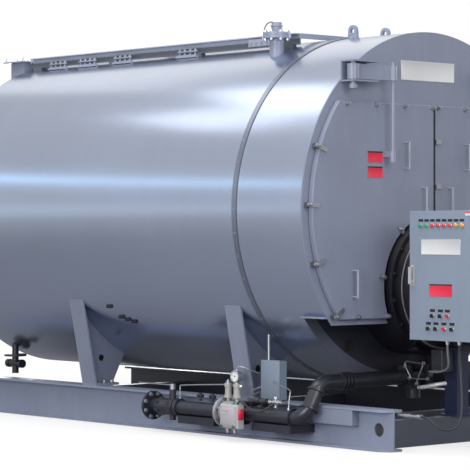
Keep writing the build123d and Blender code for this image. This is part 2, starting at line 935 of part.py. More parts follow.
with BuildPart() as burner_pedestal:
    with BuildSketch(Plane.XY.offset(cross_depth)):
        with Locations((post_x, 0)):
            Rectangle(post_size + 2 * post_foot, post_size + 2 * post_foot_rim)
    extrude(amount=post_foot)
    with BuildSketch(Plane.XY.offset(cross_depth)):
        with Locations((post_x, 0)):
            Rectangle(post_size, post_size)
    extrude(amount=burner_z - cross_depth)
    bar(
        (post_x - post_size, 0, burner_z),
        (post_x + post_size, 0, burner_z),
        housing_r + touch_gap,
        Mode.SUBTRACT,
    )
save(burner_pedestal, "burner_pedestal")


# Control panel

with BuildPart() as panel_cabinet:
    block(
        (panel_back_x, -cabinet_face_y, panel_bottom_z),
        (panel_front_x, -cabinet_back_y, panel_top_z),
    )
    block(
        (panel_back_x + panel_wall, -cabinet_face_y, panel_bottom_z + panel_wall),
        (panel_front_x - panel_wall, -cabinet_back_y - panel_wall, panel_top_z - panel_wall),
        Mode.SUBTRACT,
    )
    for knuckle_z in (panel_bottom_z + hinge_inset, panel_top_z - hinge_inset):
        for end in (-1, 1):
            near_z = knuckle_z + end * (hinge_length / 2 + 1)
            far_z = knuckle_z + end * (hinge_length + 1)
            low_z, high_z = min(near_z, far_z), max(near_z, far_z)
            bar((hinge_x, -hinge_y, low_z), (hinge_x, -hinge_y, high_z), hinge_r)
            block((panel_front_x, -hinge_y, low_z), (hinge_x, -cabinet_face_y + hinge_leaf, high_z))
        bar(
            (hinge_x, -hinge_y, knuckle_z - hinge_length),
            (hinge_x, -hinge_y, knuckle_z + hinge_length),
            hinge_pin_r,
        )
save(panel_cabinet, "panel_cabinet")

with BuildPart() as panel_door:
    block(
        (panel_back_x, -panel_face_y, panel_bottom_z),
        (panel_front_x - running_gap, -panel_door_y, panel_top_z),
    )
    fillet(panel_door.edges().group_by(Axis.Y)[0], panel_door_round)
    for knuckle_z in (panel_bottom_z + hinge_inset, panel_top_z - hinge_inset):
        low_z = knuckle_z - hinge_length / 2
        high_z = knuckle_z + hinge_length / 2
        bar((hinge_x, -hinge_y, low_z), (hinge_x, -hinge_y, high_z), hinge_r)
        block(
            (panel_front_x - running_gap - 1, -hinge_y - hinge_pin_r, low_z),
            (hinge_x, -hinge_y + hinge_pin_r, high_z),
        )
        bar((hinge_x, -hinge_y, low_z), (hinge_x, -hinge_y, high_z), hinge_pin_r + touch_gap, Mode.SUBTRACT)
save(panel_door, "panel_door")

with BuildPart() as panel_latch:
    latch_x = panel_back_x + latch_inset
    latch_z = panel_bottom_z + latch_rise
    grip_y = -panel_face_y - latch_stand
    block(
        (latch_x - latch_width / 2, -panel_face_y - latch_plate, latch_z),
        (latch_x + latch_width / 2, -panel_face_y, latch_z + latch_length),
    )
    bar(
        (latch_x, -panel_face_y, latch_z + latch_width),
        (latch_x, grip_y, latch_z + latch_width),
        latch_boss_r,
    )
    block(
        (latch_x - latch_boss_r, grip_y - latch_plate, latch_z + latch_boss_r),
        (latch_x + latch_boss_r, grip_y, latch_z + latch_length - latch_boss_r),
    )
save(panel_latch, "panel_latch")

with BuildPart() as panel_brackets:
    bracket_x = panel_back_x + bracket_setback
    for bracket_rise in bracket_rises:
        bracket_z = panel_bottom_z + bracket_rise
        block((bracket_x, -cabinet_back_y, bracket_z), (bracket_x + bracket_size, 0, bracket_z + bracket_size))
    bar((panel_back_x, 0, burner_z), (fan_face_x, 0, burner_z), fan_r + touch_gap, Mode.SUBTRACT)
save(panel_brackets, "panel_brackets")


# Gas train along the left rail

def gas_point(x):
    """Point on the gas train's axis."""
    return (x, -gas_y, gas_z)


with BuildPart() as gas_inlet_spool:
    bar(gas_point(inlet_x + flange_t), gas_point(cock_x), pipe_r)
    bolt_flange(gas_point(inlet_x), (1, 0, 0))
    bar(gas_point(inlet_x), gas_point(cock_x), pipe_bore_r, Mode.SUBTRACT)
save(gas_inlet_spool, "gas_inlet_spool")

with BuildPart() as gas_cock_body:
    bar(gas_point(cock_x), gas_point(cock_x + cock_length), cock_body_r)
    for hex_x in (cock_x, cock_x + cock_length - cock_hex):
        with BuildSketch(Plane(origin=gas_point(hex_x), z_dir=(1, 0, 0))):
            RegularPolygon(cock_r, 6)
        extrude(amount=cock_hex)
    bar(gas_point(stem_x), (stem_x, -gas_y, lever_z - lever_hub), stem_boss_r)
    bar(gas_point(stem_x), (stem_x, -gas_y, gas_z + stem_rise), stem_r)
    bar((stem_x, -gas_y, gas_z - cock_plug), gas_point(stem_x), 2 * stem_r)
save(gas_cock_body, "gas_cock_body")

with BuildPart() as gas_cock_lever:
    with BuildSketch(Plane.XY.offset(lever_z - lever_hub)):
        with Locations((stem_x, -gas_y)):
            Circle(2 * stem_r)
            Circle(stem_r + touch_gap, mode=Mode.SUBTRACT)
    extrude(amount=lever_hub + stem_r)
    with BuildSketch(Plane.XY.offset(lever_z)):
        with Locations((stem_x - 1.5 * stem_r - lever_length / 2, -gas_y)):
            SlotOverall(lever_length, lever_width)
        with Locations((stem_x, -gas_y)):
            Circle(stem_r + touch_gap, mode=Mode.SUBTRACT)
    extrude(amount=lever_t)
save(gas_cock_lever, "gas_cock_lever")

with BuildPart() as gas_spool:
    spool_x = cock_x + cock_length
    bar(gas_point(spool_x), gas_point(valve_x), pipe_r)
    bar(gas_point(spool_x), gas_point(spool_x + union_length / 3), pipe_r + union_rim)
    bar(gas_point(spool_x + union_length / 2), gas_point(spool_x + union_length), pipe_r + union_rim)
save(gas_spool, "gas_spool")

with BuildPart() as gas_safety_valve:
    with BuildSketch(Plane(origin=gas_point(valve_x), x_dir=(1, 0, 0), z_dir=(0, -1, 0))):
        with BuildLine():
            Polyline(
                (flange_t, 0),
                (flange_t, pipe_r),
                (valve_neck, pipe_r),
                (valve_shoulder, valve_body_r),
                (valve_length - valve_shoulder, valve_body_r),
                (valve_length - valve_neck, pipe_r),
                (valve_length - flange_t, pipe_r),
                (valve_length - flange_t, 0),
                close=True,
            )
        make_face()
    revolve(axis=Axis(gas_point(valve_x), (1, 0, 0)))
    bolt_flange(gas_point(valve_x), (1, 0, 0))
    bolt_flange(gas_point(valve_end_x), (-1, 0, 0), tail_r, tail_pcd, tail_holes)
save(gas_safety_valve, "gas_safety_valve")

with BuildPart() as gas_valve_actuator:
    actuator_back_x = valve_x + actuator_x
    actuator_y = -gas_y - valve_body_r - touch_gap
    block(
        (actuator_back_x, actuator_y - actuator_depth, gas_z - actuator_drop),
        (actuator_back_x + actuator_width, actuator_y, gas_z + actuator_rise),
    )
    fillet(gas_valve_actuator.faces().sort_by(Axis.Y)[0].edges(), actuator_round)
    block(
        (actuator_back_x, actuator_y, gas_z - actuator_saddle_height / 2),
        (actuator_back_x + actuator_saddle, -gas_y, gas_z + actuator_saddle_height / 2),
    )
    bar(gas_point(valve_x), gas_point(valve_end_x), valve_body_r + touch_gap, Mode.SUBTRACT)
save(gas_valve_actuator, "gas_valve_actuator")

with BuildPart() as gas_regulators:
    for regulator_place in regulator_places:
        turned(
            (valve_x + regulator_place, -gas_y, gas_z),
            (0, 0, 1),
            (
                (regulator_base, regulator_neck_r),
                (regulator_cap, regulator_r),
                (regulator_rise - regulator_base - 2 * regulator_cap, regulator_waist_r),
                (regulator_cap, regulator_r),
            ),
        )
    bar(gas_point(valve_x), gas_point(valve_end_x), valve_body_r + touch_gap, Mode.SUBTRACT)
save(gas_regulators, "gas_regulators")

with BuildPart() as gas_gauge:
    gauge_x = valve_x + regulator_places[-1]
    gauge_z = gas_z + gauge_rise
    bar((gauge_x, -gas_y, gas_z + regulator_rise), (gauge_x, -gas_y, gauge_z), gauge_stem_r)
    turned(
        (gauge_x, -gas_y + gauge_depth / 2, gauge_z),
        (0, -1, 0),
        ((gauge_depth * 0.75, gauge_r), (gauge_depth * 0.25, gauge_r + gauge_bezel)),
    )
save(gas_gauge, "gas_gauge")

with BuildPart() as gas_riser_pipe:
    with BuildLine() as route:
        FilletPolyline(
            gas_point(valve_end_x),
            gas_point(riser_x),
            (riser_x, -riser_y, riser_z),
            (riser_x, -throttle_y, riser_z),
            radius=elbow_r,
        )
    with BuildSketch(Plane(origin=gas_point(valve_end_x), z_dir=(1, 0, 0))):
        Circle(pipe_r)
    sweep(path=route.line)
    bolt_flange(gas_point(valve_end_x), (1, 0, 0), tail_r, tail_pcd, tail_holes)
    for index in range(coupling_ribs):
        rib_y = -coupling_y - index * coupling_pitch
        bar((riser_x, rib_y, riser_z), (riser_x, rib_y + coupling_rib, riser_z), pipe_r + coupling_rim)
save(gas_riser_pipe, "gas_riser_pipe")

with BuildPart() as gas_throttle_valve:
    low = (riser_x - throttle_depth / 2, -throttle_y, riser_z - throttle_height / 2)
    high = (riser_x + throttle_depth / 2, throttle_end_y, riser_z + throttle_height / 2)
    block(low, (high[0], -throttle_y + throttle_flange, high[2]))
    block((low[0], throttle_end_y - throttle_flange, low[2]), high)
    bar((riser_x, -throttle_y, riser_z), (riser_x, throttle_end_y, riser_z), throttle_body_r)
    throttle_middle = (throttle_end_y - throttle_y) / 2
    bar(
        (riser_x, throttle_middle, riser_z - throttle_cover_drop),
        (riser_x, throttle_middle, riser_z),
        throttle_cover_r,
    )
    servo_x = post_x - servo_setback
    block(
        (servo_x - servo_width / 2, -post_size / 2 - servo_depth, servo_z),
        (servo_x + servo_width / 2, -post_size / 2, servo_z + servo_height),
    )
    fillet(gas_throttle_valve.faces().sort_by(Axis.Y)[0].edges().filter_by(Axis.Z), servo_round)
save(gas_throttle_valve, "gas_throttle_valve")

with BuildPart() as gas_burner_elbow:
    with BuildLine() as rise:
        FilletPolyline(
            (riser_x, throttle_end_y, riser_z),
            (riser_x, burner_gas_y, riser_z),
            (riser_x, burner_gas_y, burner_z - burner_gas_end),
            radius=burner_gas_bend,
        )
    with BuildSketch(Plane(origin=(riser_x, throttle_end_y, riser_z), z_dir=(0, 1, 0))):
        Circle(pipe_r)
    sweep(path=rise.line)
    bar((shell_front_x, 0, burner_z), (drum_face_x, 0, burner_z), drum_r + touch_gap, Mode.SUBTRACT)
save(gas_burner_elbow, "gas_burner_elbow")

with BuildPart() as gas_pipe_brackets:
    shelf_z = gas_z - pipe_r - touch_gap
    shelf_y = -gas_y - shelf_front
    for shelf_x in shelf_places:
        end_x = shelf_x + shelf_length
        block((shelf_x, shelf_y, shelf_z - shelf_plate), (end_x, -rail_outer_y, shelf_z))
        block((shelf_x, shelf_y, shelf_z - shelf_height), (end_x, shelf_y + shelf_plate, shelf_z))
        for gusset_x in (shelf_x, end_x - shelf_plate):
            block(
                (gusset_x, shelf_y, shelf_z - shelf_height),
                (gusset_x + shelf_plate, -rail_outer_y, shelf_z),
            )
save(gas_pipe_brackets, "gas_pipe_brackets")


# Junction box and rigid conduits

with BuildPart() as junction_box:
    box_base = rail_depth + junction_foot
    block(
        (junction_x, -junction_face_y, box_base),
        (junction_x + junction_width, -junction_face_y + junction_depth, box_base + junction_height),
    )
    fillet(junction_box.edges().filter_by(Axis.Z), junction_round)
    block(
        (junction_x + junction_foot_inset, -junction_face_y + junction_foot_inset, rail_depth),
        (junction_x + junction_width - junction_foot_inset, -junction_face_y + junction_depth, box_base),
    )
save(junction_box, "junction_box")

conduit_x = junction_x + conduit_inset
conduit_y = junction_face_y - junction_depth / 2
skid_tube_y = rail_inner_y - skid_tube_inset
skid_tube_z = rail_depth - skid_tube_drop
skid_tube_end = skid_front + skid_tube_reach

with BuildPart() as junction_conduit:
    bar(
        (conduit_x, -conduit_y, rail_depth + junction_foot + junction_height),
        (conduit_x, -conduit_y, axis_z),
        conduit_r,
    )
    cut_drum()
    bar((skid_tube_back, -skid_tube_y, skid_tube_z), (skid_tube_end, -skid_tube_y, skid_tube_z), skid_tube_r)
    for collar_x in (skid_tube_end, (skid_front + skid_tube_end) / 2):
        bar(
            (collar_x - skid_tube_collar_length, -skid_tube_y, skid_tube_z),
            (collar_x, -skid_tube_y, skid_tube_z),
            skid_tube_r + skid_tube_collar,
        )
    for saddle_setback in saddle_setbacks:
        saddle_x = skid_front - saddle_setback
        block(
            (saddle_x - saddle_width, -rail_inner_y, skid_tube_z - skid_tube_r),
            (saddle_x, -skid_tube_y, skid_tube_z + skid_tube_r),
        )
save(junction_conduit, "junction_conduit")


# Flexible conduits under the cabinet

servo_conduit_route = (
    (2665, -600, 808),
    (2665, -600, 728),
    (2650, -570, 655),
    (2600, -520, 605),
    (2520, -478, 575),
    (2430, -440, 562),
    (2340, -408, 555),
    (2268, -366, 551),
    (2214, -316, 548),
    (2179, -259, 547),
    (2179, -199.5, 547),
)
skid_conduit_route = (
    (2782, -600, 808),
    (2782, -600, 730),
    (2798, -613, 655),
    (2822, -632, 580),
    (2850, -655, 495),
    (2876, -678, 405),
    (2896, -700, 318),
    (2906, -724, 248),
    (2904, -752, 204),
    (2888, -792, 184),
    (2864, -832, 181),
    (2832, -866, 194),
    (2790, -884, 230),
    (2742, -890, 268),
    (2685, -890, 268),
)


def hanging_conduit(route, name):
    """Flexible conduit along a route of points, with arcs as large as its runs allow."""
    points = [Vector(*point) for point in route]
    radii = []
    for before, here, after in zip(points, points[1:], points[2:]):
        turn = radians((here - before).get_angle(after - here))
        shorter = min((here - before).length, (after - here).length)
        radii.append(0.45 * shorter / tan(turn / 2))
    print(name, [round(radius) for radius in radii])
    with BuildPart() as conduit:
        with BuildLine() as line:
            FilletPolyline(*route, radius=radii)
        with BuildSketch(Plane(origin=route[0], z_dir=points[1] - points[0])) as section:
            Circle(cord_r)
        sweep(section.sketch, path=line.line)
    print(name, round(line.wire().length), round(conduit.part.volume / (3.14159 * cord_r**2)))
    save(conduit, name)


hanging_conduit(servo_conduit_route, "servo_conduit")
hanging_conduit(skid_conduit_route, "skid_conduit")


# Top of the drum

with BuildPart() as steam_nozzle:
    nozzle_face_z = nozzle_flange_z + flange_t
    bar((nozzle_x, -nozzle_y, axis_z), (nozzle_x, -nozzle_y, nozzle_flange_z), pipe_r)
    cut_drum()
    bolt_flange((nozzle_x, -nozzle_y, nozzle_flange_z), (0, 0, 1))
    bar(
        (nozzle_x, -nozzle_y, nozzle_face_z - nozzle_bore),
        (nozzle_x, -nozzle_y, nozzle_face_z),
        pipe_bore_r,
        Mode.SUBTRACT,
    )
save(steam_nozzle, "steam_nozzle")

with BuildPart() as lifting_lugs:
    crown_z = axis_z + jacket_r
    for side in (left, right):
        with BuildSketch(Plane.XZ.offset(-side * lift_y)):
            with Locations((lift_x, crown_z + lift_eye_rise)):
                Circle(lift_rim_r)
            with Locations((lift_x, crown_z - lift_plate)):
                Rectangle(lift_base, lift_plate)
            make_hull()
            with Locations((lift_x, crown_z + lift_eye_rise)):
                Circle(lift_eye_r, mode=Mode.SUBTRACT)
        extrude(amount=lift_plate / 2, both=True)
        outer = side * (lift_y + lift_plate / 2)
        with BuildSketch(Plane.YZ.offset(lift_x)):
            with BuildLine():
                Polyline(
                    (outer, crown_z + lift_eye_rise - lift_rim_r),
                    (outer + side * lift_gusset, crown_z - lift_gusset),
                    (outer, crown_z - lift_gusset),
                    close=True,
                )
            make_face()
        extrude(amount=lift_plate / 2, both=True)
    cut_drum()
save(lifting_lugs, "lifting_lugs")


def top_rail(side):
    """Channel along the top of the drum, open outwards, on saddle feet, with an eye plate at its rear end."""
    web_y = side * (top_rail_y - (top_rail_width - top_rail_wall) / 2)
    feet_pitch = (top_rail_front - top_rail_back - 2 * top_rail_foot_inset) / (top_rail_feet - 1)
    eye_z = top_rail_z + top_rail_depth / 2
    with BuildPart() as rail:
        with BuildSketch(Plane.YZ.offset(top_rail_back)) as section:
            with Locations((side * top_rail_y, top_rail_z)):
                Rectangle(top_rail_width, top_rail_depth, align=(Align.CENTER, Align.MIN))
            with Locations((side * (top_rail_y + top_rail_wall), top_rail_z + top_rail_wall)):
                Rectangle(
                    top_rail_width,
                    top_rail_depth - 2 * top_rail_wall,
                    align=(Align.CENTER, Align.MIN),
                    mode=Mode.SUBTRACT,
                )
        extrude(section.sketch, amount=top_rail_front - top_rail_back)
        for index in range(top_rail_feet):
            foot_x = top_rail_back + top_rail_foot_inset + index * feet_pitch
            low_y = side * top_rail_y - top_rail_width / 2
            block(
                (foot_x - top_rail_foot / 2, low_y, axis_z),
                (foot_x + top_rail_foot / 2, low_y + top_rail_width, top_rail_z),
            )
        block(
            (top_rail_back - eye_plate, web_y - top_rail_wall / 2, top_rail_z + eye_plate_inset),
            (top_rail_back, web_y + top_rail_wall / 2, top_rail_z + top_rail_depth),
        )
        bar(
            (top_rail_back - eye_plate / 2, web_y - top_rail_wall, eye_z),
            (top_rail_back - eye_plate / 2, web_y + top_rail_wall, eye_z),
            eye_hole_r,
            Mode.SUBTRACT,
        )
        cut_drum()
    return rail


save(top_rail(left), "top_rail_left")
save(top_rail(right), "top_rail_right")

with BuildPart() as top_cross_beams:
    beam_pitch = (top_rail_front - top_rail_back - top_rail_width) / (cross_beams - 1)
    beam_top_z = top_rail_z + top_rail_depth
    beam_y = top_rail_y - top_rail_width / 2 - touch_gap
    for index in range(cross_beams):
        beam_x = top_rail_front - index * beam_pitch
        block(
            (beam_x - top_rail_width, -beam_y, beam_top_z - cross_beam_depth),
            (beam_x, beam_y, beam_top_z),
        )
save(top_cross_beams, "top_cross_beams")


# Rear end

with BuildPart() as rear_smokebox:
    bar((rear_face_x, 0, axis_z), (shell_back_x, 0, axis_z), rear_box_r)
    chamfer(rear_smokebox.edges().group_by(Axis.X)[0], rear_box_edge)
save(rear_smokebox, "rear_smokebox")

flue_x = shell_back_x - rear_box_length / 2
flue_height = jacket_r + flue_rise

with BuildPart() as flue_outlet:
    with BuildSketch(Plane.XY.offset(axis_z)):
        with Locations((flue_x, 0)):
            Rectangle(flue_length, flue_width)
    extrude(amount=flue_height)
    with BuildSketch(Plane.XY.offset(axis_z + flue_height - flue_flange_t)):
        with Locations((flue_x, 0)):
            Rectangle(flue_length + 2 * flue_flange, flue_width + 2 * flue_flange)
    extrude(amount=flue_flange_t)
    with BuildSketch(Plane.XY.offset(axis_z)):
        with Locations((flue_x, 0)):
            Rectangle(flue_length - 2 * flue_wall, flue_width - 2 * flue_wall)
    extrude(amount=flue_height, mode=Mode.SUBTRACT)
    bar((rear_face_x, 0, axis_z), (shell_back_x, 0, axis_z), rear_box_r + touch_gap, Mode.SUBTRACT)
save(flue_outlet, "flue_outlet")

with BuildPart() as rear_access_door:
    turned(
        (rear_face_x, 0, axis_z),
        (-1, 0, 0),
        ((rear_door_t / 2, rear_door_r), (rear_door_t / 2, rear_door_r - rear_door_step)),
    )
save(rear_access_door, "rear_access_door")

with BuildPart() as blowdown_valve:
    blowdown_x = shell_back_x + blowdown_inset
    blowdown_end = blowdown_cross / 2
    flange_z = blowdown_cross_z + blowdown_flange_rise
    bar((blowdown_x, -blowdown_y, blowdown_bottom), (blowdown_x, -blowdown_y, axis_z), blowdown_r)
    bar(
        (blowdown_x, -blowdown_y, flange_z),
        (blowdown_x, -blowdown_y, flange_z + blowdown_flange_t),
        blowdown_flange_r,
    )
    bar(
        (blowdown_x - blowdown_end, -blowdown_y, blowdown_cross_z),
        (blowdown_x + blowdown_end, -blowdown_y, blowdown_cross_z),
        blowdown_r,
    )
    for side in (left, right):
        boss_x = blowdown_x + side * blowdown_end
        bar(
            (boss_x - side * blowdown_boss, -blowdown_y, blowdown_cross_z),
            (boss_x, -blowdown_y, blowdown_cross_z),
            blowdown_boss_r,
        )
    cut_drum()
save(blowdown_valve, "blowdown_valve")
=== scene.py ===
"""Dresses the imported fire-tube boiler: camera, conduits, finishes and the small fittings."""

import logging
import math
from contextlib import contextmanager
from dataclasses import dataclass
from enum import Enum
from typing import Callable, Dict, Iterable, Iterator, List, Optional, Sequence, Tuple, Union

import bpy
from mathutils import Matrix, Vector


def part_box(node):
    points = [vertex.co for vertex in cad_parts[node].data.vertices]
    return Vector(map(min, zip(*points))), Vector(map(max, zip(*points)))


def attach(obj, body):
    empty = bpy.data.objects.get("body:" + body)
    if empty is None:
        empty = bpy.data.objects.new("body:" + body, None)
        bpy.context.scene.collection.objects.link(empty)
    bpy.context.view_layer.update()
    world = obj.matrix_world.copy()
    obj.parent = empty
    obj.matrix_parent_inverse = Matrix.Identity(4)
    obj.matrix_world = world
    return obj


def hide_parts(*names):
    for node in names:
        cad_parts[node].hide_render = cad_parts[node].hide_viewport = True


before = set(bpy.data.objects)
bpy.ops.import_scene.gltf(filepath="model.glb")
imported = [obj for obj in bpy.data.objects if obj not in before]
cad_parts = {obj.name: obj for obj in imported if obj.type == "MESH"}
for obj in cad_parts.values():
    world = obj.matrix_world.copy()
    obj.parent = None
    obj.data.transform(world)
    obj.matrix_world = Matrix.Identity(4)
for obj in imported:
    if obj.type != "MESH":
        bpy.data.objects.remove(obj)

Pair = Tuple[float, float]
Triple = Tuple[float, float, float]
Colour = Tuple[float, float, float, float]
Route = Tuple[Triple, ...]
Piece = bpy.types.Object
Face = bpy.types.MeshPolygon
Value = Union["Wire", float]
Paint = Union["Wire", Colour]

LOG = logging.getLogger("boiler")
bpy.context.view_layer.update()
FORWARD, BACK = (1.0, 0.0, 0.0), (-1.0, 0.0, 0.0)
NEAR, FAR = (0.0, -1.0, 0.0), (0.0, 1.0, 0.0)
UP, DOWN = (0.0, 0.0, 1.0), (0.0, 0.0, -1.0)
SIDES = (-1.0, 1.0)
AXIS_Z = 1.769
BURNER_Z = 1.179
HEAD_FACE = 1.670
DOOR_FACE = 1.976
LEGS = (0.920, -1.058)
FLANGE_CIRCLE = 0.09525
WHITE: Colour = (1.0, 1.0, 1.0, 1.0)


class Body(Enum):
    """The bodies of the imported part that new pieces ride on."""

    BOILER = "boiler"
    LEFT_DOOR = "left_door"
    PANEL_DOOR = "panel_door"


class Slot(Enum):
    """The record's material slots; a new piece is handed one, but it is not given to it."""

    GREY = "grey_paint"
    ZINC = "zinc_steel"
    BLACK = "black_paint"
    NAVY = "navy_paint"
    PANEL = "panel_paint"
    PIPE = "pipe_black"
    WHITE = "white_paint"
    DARK = "dark_steel"


def srgb(red: int, green: int, blue: int) -> Colour:
    """Turns a colour as seen on a screen into linear light.

    Args:
        red, green, blue: 0 to 255.

    Returns:
        The colour with full alpha.
    """
    def linear(part: int) -> float:
        share = part / 255.0
        return share / 12.92 if share <= 0.04045 else ((share + 0.055) / 1.055) ** 2.4

    return (linear(red), linear(green), linear(blue), 1.0)


class Tree:
    """A material's node tree, written as expressions on its sockets."""

    def __init__(self, owner: Union[bpy.types.Material, bpy.types.World]) -> None:
        """Clears the owner's nodes for a new tree."""
        owner.use_nodes = True
        self.tree = owner.node_tree
        self.tree.nodes.clear()

    def add(self, kind: str, inputs: Optional[dict] = None, out: Union[int, str] = 0,
            **settings: Union[str, bool]) -> "Wire":
        """Adds any node.

        Args:
            kind: The node's type, without the prefix that all of them have.
            inputs: Values or wires by socket name or number.
            out: Which output to hand back.
            settings: The node's attributes, set first.

        Returns:
            The chosen output as a wire.
        """
        node = self.tree.nodes.new("ShaderNode" + kind)
        for key, value in settings.items():
            setattr(node, key, value)
        for key, value in (inputs or {}).items():
            if isinstance(value, Wire):
                self.tree.links.new(value.socket, node.inputs[key])
            else:
                node.inputs[key].default_value = value
        return Wire(self, node.outputs[out] if len(node.outputs) else None)

    def where(self) -> "Wire":
        """Object coordinates."""
        return self.add("TexCoord", out="Object")

    def normal(self) -> "Wire":
        """The way that a face looks."""
        return self.add("NewGeometry", out="Normal")

    def axis(self, vector: "Wire", name: str) -> "Wire":
        """One of a vector's parts."""
        return self.add("SeparateXYZ", {"Vector": vector}, name)

    def blend(self, share: "Wire", low: Paint, high: Paint) -> "Wire":
        """Mixes two colours by a share from 0 to 1."""
        return self.add("Mix", {0: share, 6: low, 7: high}, 2, data_type="RGBA")

    def noise(self, where: "Wire", scale: float, detail: float = 3.0, stretch: Triple = (1.0, 1.0, 1.0)) -> "Wire":
        """Soft noise, drawn out along an axis whose stretch is small."""
        spread = self.add("Mapping", {"Vector": where, "Scale": stretch})
        return self.add("TexNoise", {"Vector": spread, "Scale": scale, "Detail": detail}, "Fac")

    def ramp(self, value: "Wire", low: Value, high: Value) -> "Wire":
        """Stretches the values between low and high over 0 to 1."""
        return self.add("MapRange", {"Value": value, "From Min": low, "From Max": high}, clamp=True)

    def bump(self, strength: float, distance: float, height: "Wire") -> "Wire":
        """A normal that follows a height."""
        return self.add("Bump", {"Strength": strength, "Distance": distance, "Height": height})


class Wire:
    """An output socket that takes part in Python expressions."""

    def __init__(self, tree: Tree, socket: bpy.types.NodeSocket) -> None:
        """Holds a socket of a tree."""
        self.tree = tree
        self.socket = socket

    def math(self, operation: str, first: Value, second: Value) -> "Wire":
        """Adds one Math node."""
        return self.tree.add("Math", {0: first, 1: second}, operation=operation)

    def __add__(self, other: Value) -> "Wire":
        """self + other."""
        return self.math("ADD", self, other)

    __radd__ = __add__

    def __sub__(self, other: Value) -> "Wire":
        """self - other."""
        return self.math("SUBTRACT", self, other)

    def __rsub__(self, other: float) -> "Wire":
        """other - self."""
        return self.math("SUBTRACT", other, self)

    def __mul__(self, other: Value) -> "Wire":
        """self * other."""
        return self.math("MULTIPLY", self, other)


@dataclass(frozen=True)
class Finish:
    """A finish with a colour that wanders a little and a fine surface texture."""

    name: str
    colour: Colour
    roughness: float = 0.45
    metallic: float = 0.0
    coat: float = 0.0
    wander: float = 0.12
    patch: float = 2.5
    texture: float = 0.04
    fineness: float = 320.0
    glow: float = 0.0

    def shade(self, share: float) -> Colour:
        """The finish's colour, lighter or darker by a share."""
        return tuple(min(1.0, part * (1.0 + share)) for part in self.colour[:3]) + (1.0,)

    def varied(self, tree: Tree, share: Wire) -> Wire:
        """The finish's colour, from darker to lighter by a share."""
        return tree.blend(share, self.shade(-self.wander), self.shade(self.wander))

    def skin(self, colour: Wire, roughness: Wire, bump: Optional[Wire] = None) -> dict:
        """The sockets that every finish fills, with a bump where there is one."""
        inputs = {"Base Color": colour, "Roughness": roughness, "Metallic": self.metallic, "Coat Weight": self.coat}
        return inputs if bump is None else {**inputs, "Normal": bump}

    def sockets(self, tree: Tree) -> dict:
        """What the shader's sockets take.

        Args:
            tree: The tree being written.

        Returns:
            Values and wires by socket name.
        """
        where = tree.where()
        cloud = tree.noise(where, self.patch, 4.0)
        bump = tree.bump(self.texture, 0.002, tree.noise(where, self.fineness, 2.0))
        colour = self.varied(tree, tree.ramp(cloud, 0.3, 0.7))
        inputs = self.skin(colour, self.roughness + (cloud - 0.5) * 0.16, bump)
        if self.glow:
            inputs.update({"Emission Color": self.colour, "Emission Strength": self.glow})
        return inputs

    def material(self) -> bpy.types.Material:
        """The finish's material, written on first use."""
        made = bpy.data.materials.get(self.name)
        if made is None:
            made = bpy.data.materials.new(self.name)
            tree = Tree(made)
            tree.add("OutputMaterial", {"Surface": tree.add("BsdfPrincipled", self.sockets(tree))})
        return made


@dataclass(frozen=True)
class Jacket(Finish):
    """Polished sheet with a hoop grain, faint waves and handling marks."""

    grain: float = 0.10
    cut_end: Colour = srgb(78, 83, 98)

    def sockets(self, tree: Tree) -> dict:
        """Grain round the drum, slow waves in the sheet, and paint on the cut ends."""
        where = tree.where()
        hoop = tree.noise(where, 1.0, 4.0, (190.0, 2.0, 2.0))
        cloud = tree.noise(where, 0.9, 5.0)
        streak = tree.noise(where, 1.0, 4.0, (9.0, 0.8, 0.8))
        wave = tree.noise(where, 1.6, 1.0)
        colour = self.varied(tree, tree.ramp(cloud * 0.6 + streak * 0.4, 0.34, 0.66))
        bump = tree.bump(self.texture, 0.004, hoop * 0.05 + wave * 6.0)
        end = tree.ramp(tree.axis(tree.normal(), "X"), 0.7, 0.9)
        roughness = self.roughness + (hoop - 0.5) * self.grain + (cloud - 0.5) * 0.06 + end * 0.3
        inputs = self.skin(tree.blend(end, colour, self.cut_end), roughness, bump)
        inputs["Metallic"] = (1 - end) * self.metallic
        return inputs


@dataclass(frozen=True)
class Enamel(Finish):
    """Sprayed enamel: an orange-peel skin, a little dust on what faces up, rubbed spots, and painted shade where
    asked.
    """

    dust: float = 0.18
    # Painted shade: darkens faces that look in towards the middle, where the skid rails' inner webs lie in shade.
    inner_shade: float = 0.0
    shade_below: float = 0.0
    dust_colour: Colour = srgb(168, 166, 162)
    inner_shade_colour: Colour = srgb(20, 21, 26)
    shade_colour: Colour = srgb(56, 60, 72)

    def sockets(self, tree: Tree) -> dict:
        """Peel in the bump, dust by the way that a face looks, rubbed spots, painted shade on inner faces and below a
        height.
        """
        where, normal = tree.where(), tree.normal()
        cloud = tree.noise(where, self.patch, 5.0)
        streak = tree.noise(where, 1.0, 4.0, (14.0, 14.0, 1.2))
        peel = tree.noise(where, self.fineness, 1.0)
        rub = tree.ramp(tree.noise(where, 31.0, 6.0), 0.66, 0.8)
        paint = self.varied(tree, tree.ramp(cloud * 0.65 + streak * 0.35, 0.34, 0.66))
        film = tree.ramp(tree.axis(normal, "Z"), 0.3, 1.0) * tree.ramp(cloud, 0.2, 0.7) * self.dust
        worn_and_painted_shade = tree.blend(rub * 0.25, tree.blend(film, paint, self.dust_colour), self.shade(0.5))
        # Painted shade on the faces that look inward.
        if self.inner_shade:
            inward = tree.ramp(tree.axis(normal, "Y") * tree.axis(where, "Y") * -1.0, 0.3, 0.7)
            worn_and_painted_shade = tree.blend(inward * self.inner_shade, worn_and_painted_shade, self.inner_shade_colour)
        # Painted shade below a height, along the top rails' webs under their flange.
        if self.shade_below:
            height = tree.axis(where, "Z") + (streak - 0.5) * 0.012
            low = 1.0 - tree.ramp(height, self.shade_below - 0.004, self.shade_below + 0.004)
            worn_and_painted_shade = tree.blend(low * 0.85, worn_and_painted_shade, self.shade_colour)
        roughness = self.roughness + film * 0.5 + (cloud - 0.5) * 0.14
        return self.skin(worn_and_painted_shade, roughness, tree.bump(self.texture, 0.002, peel))


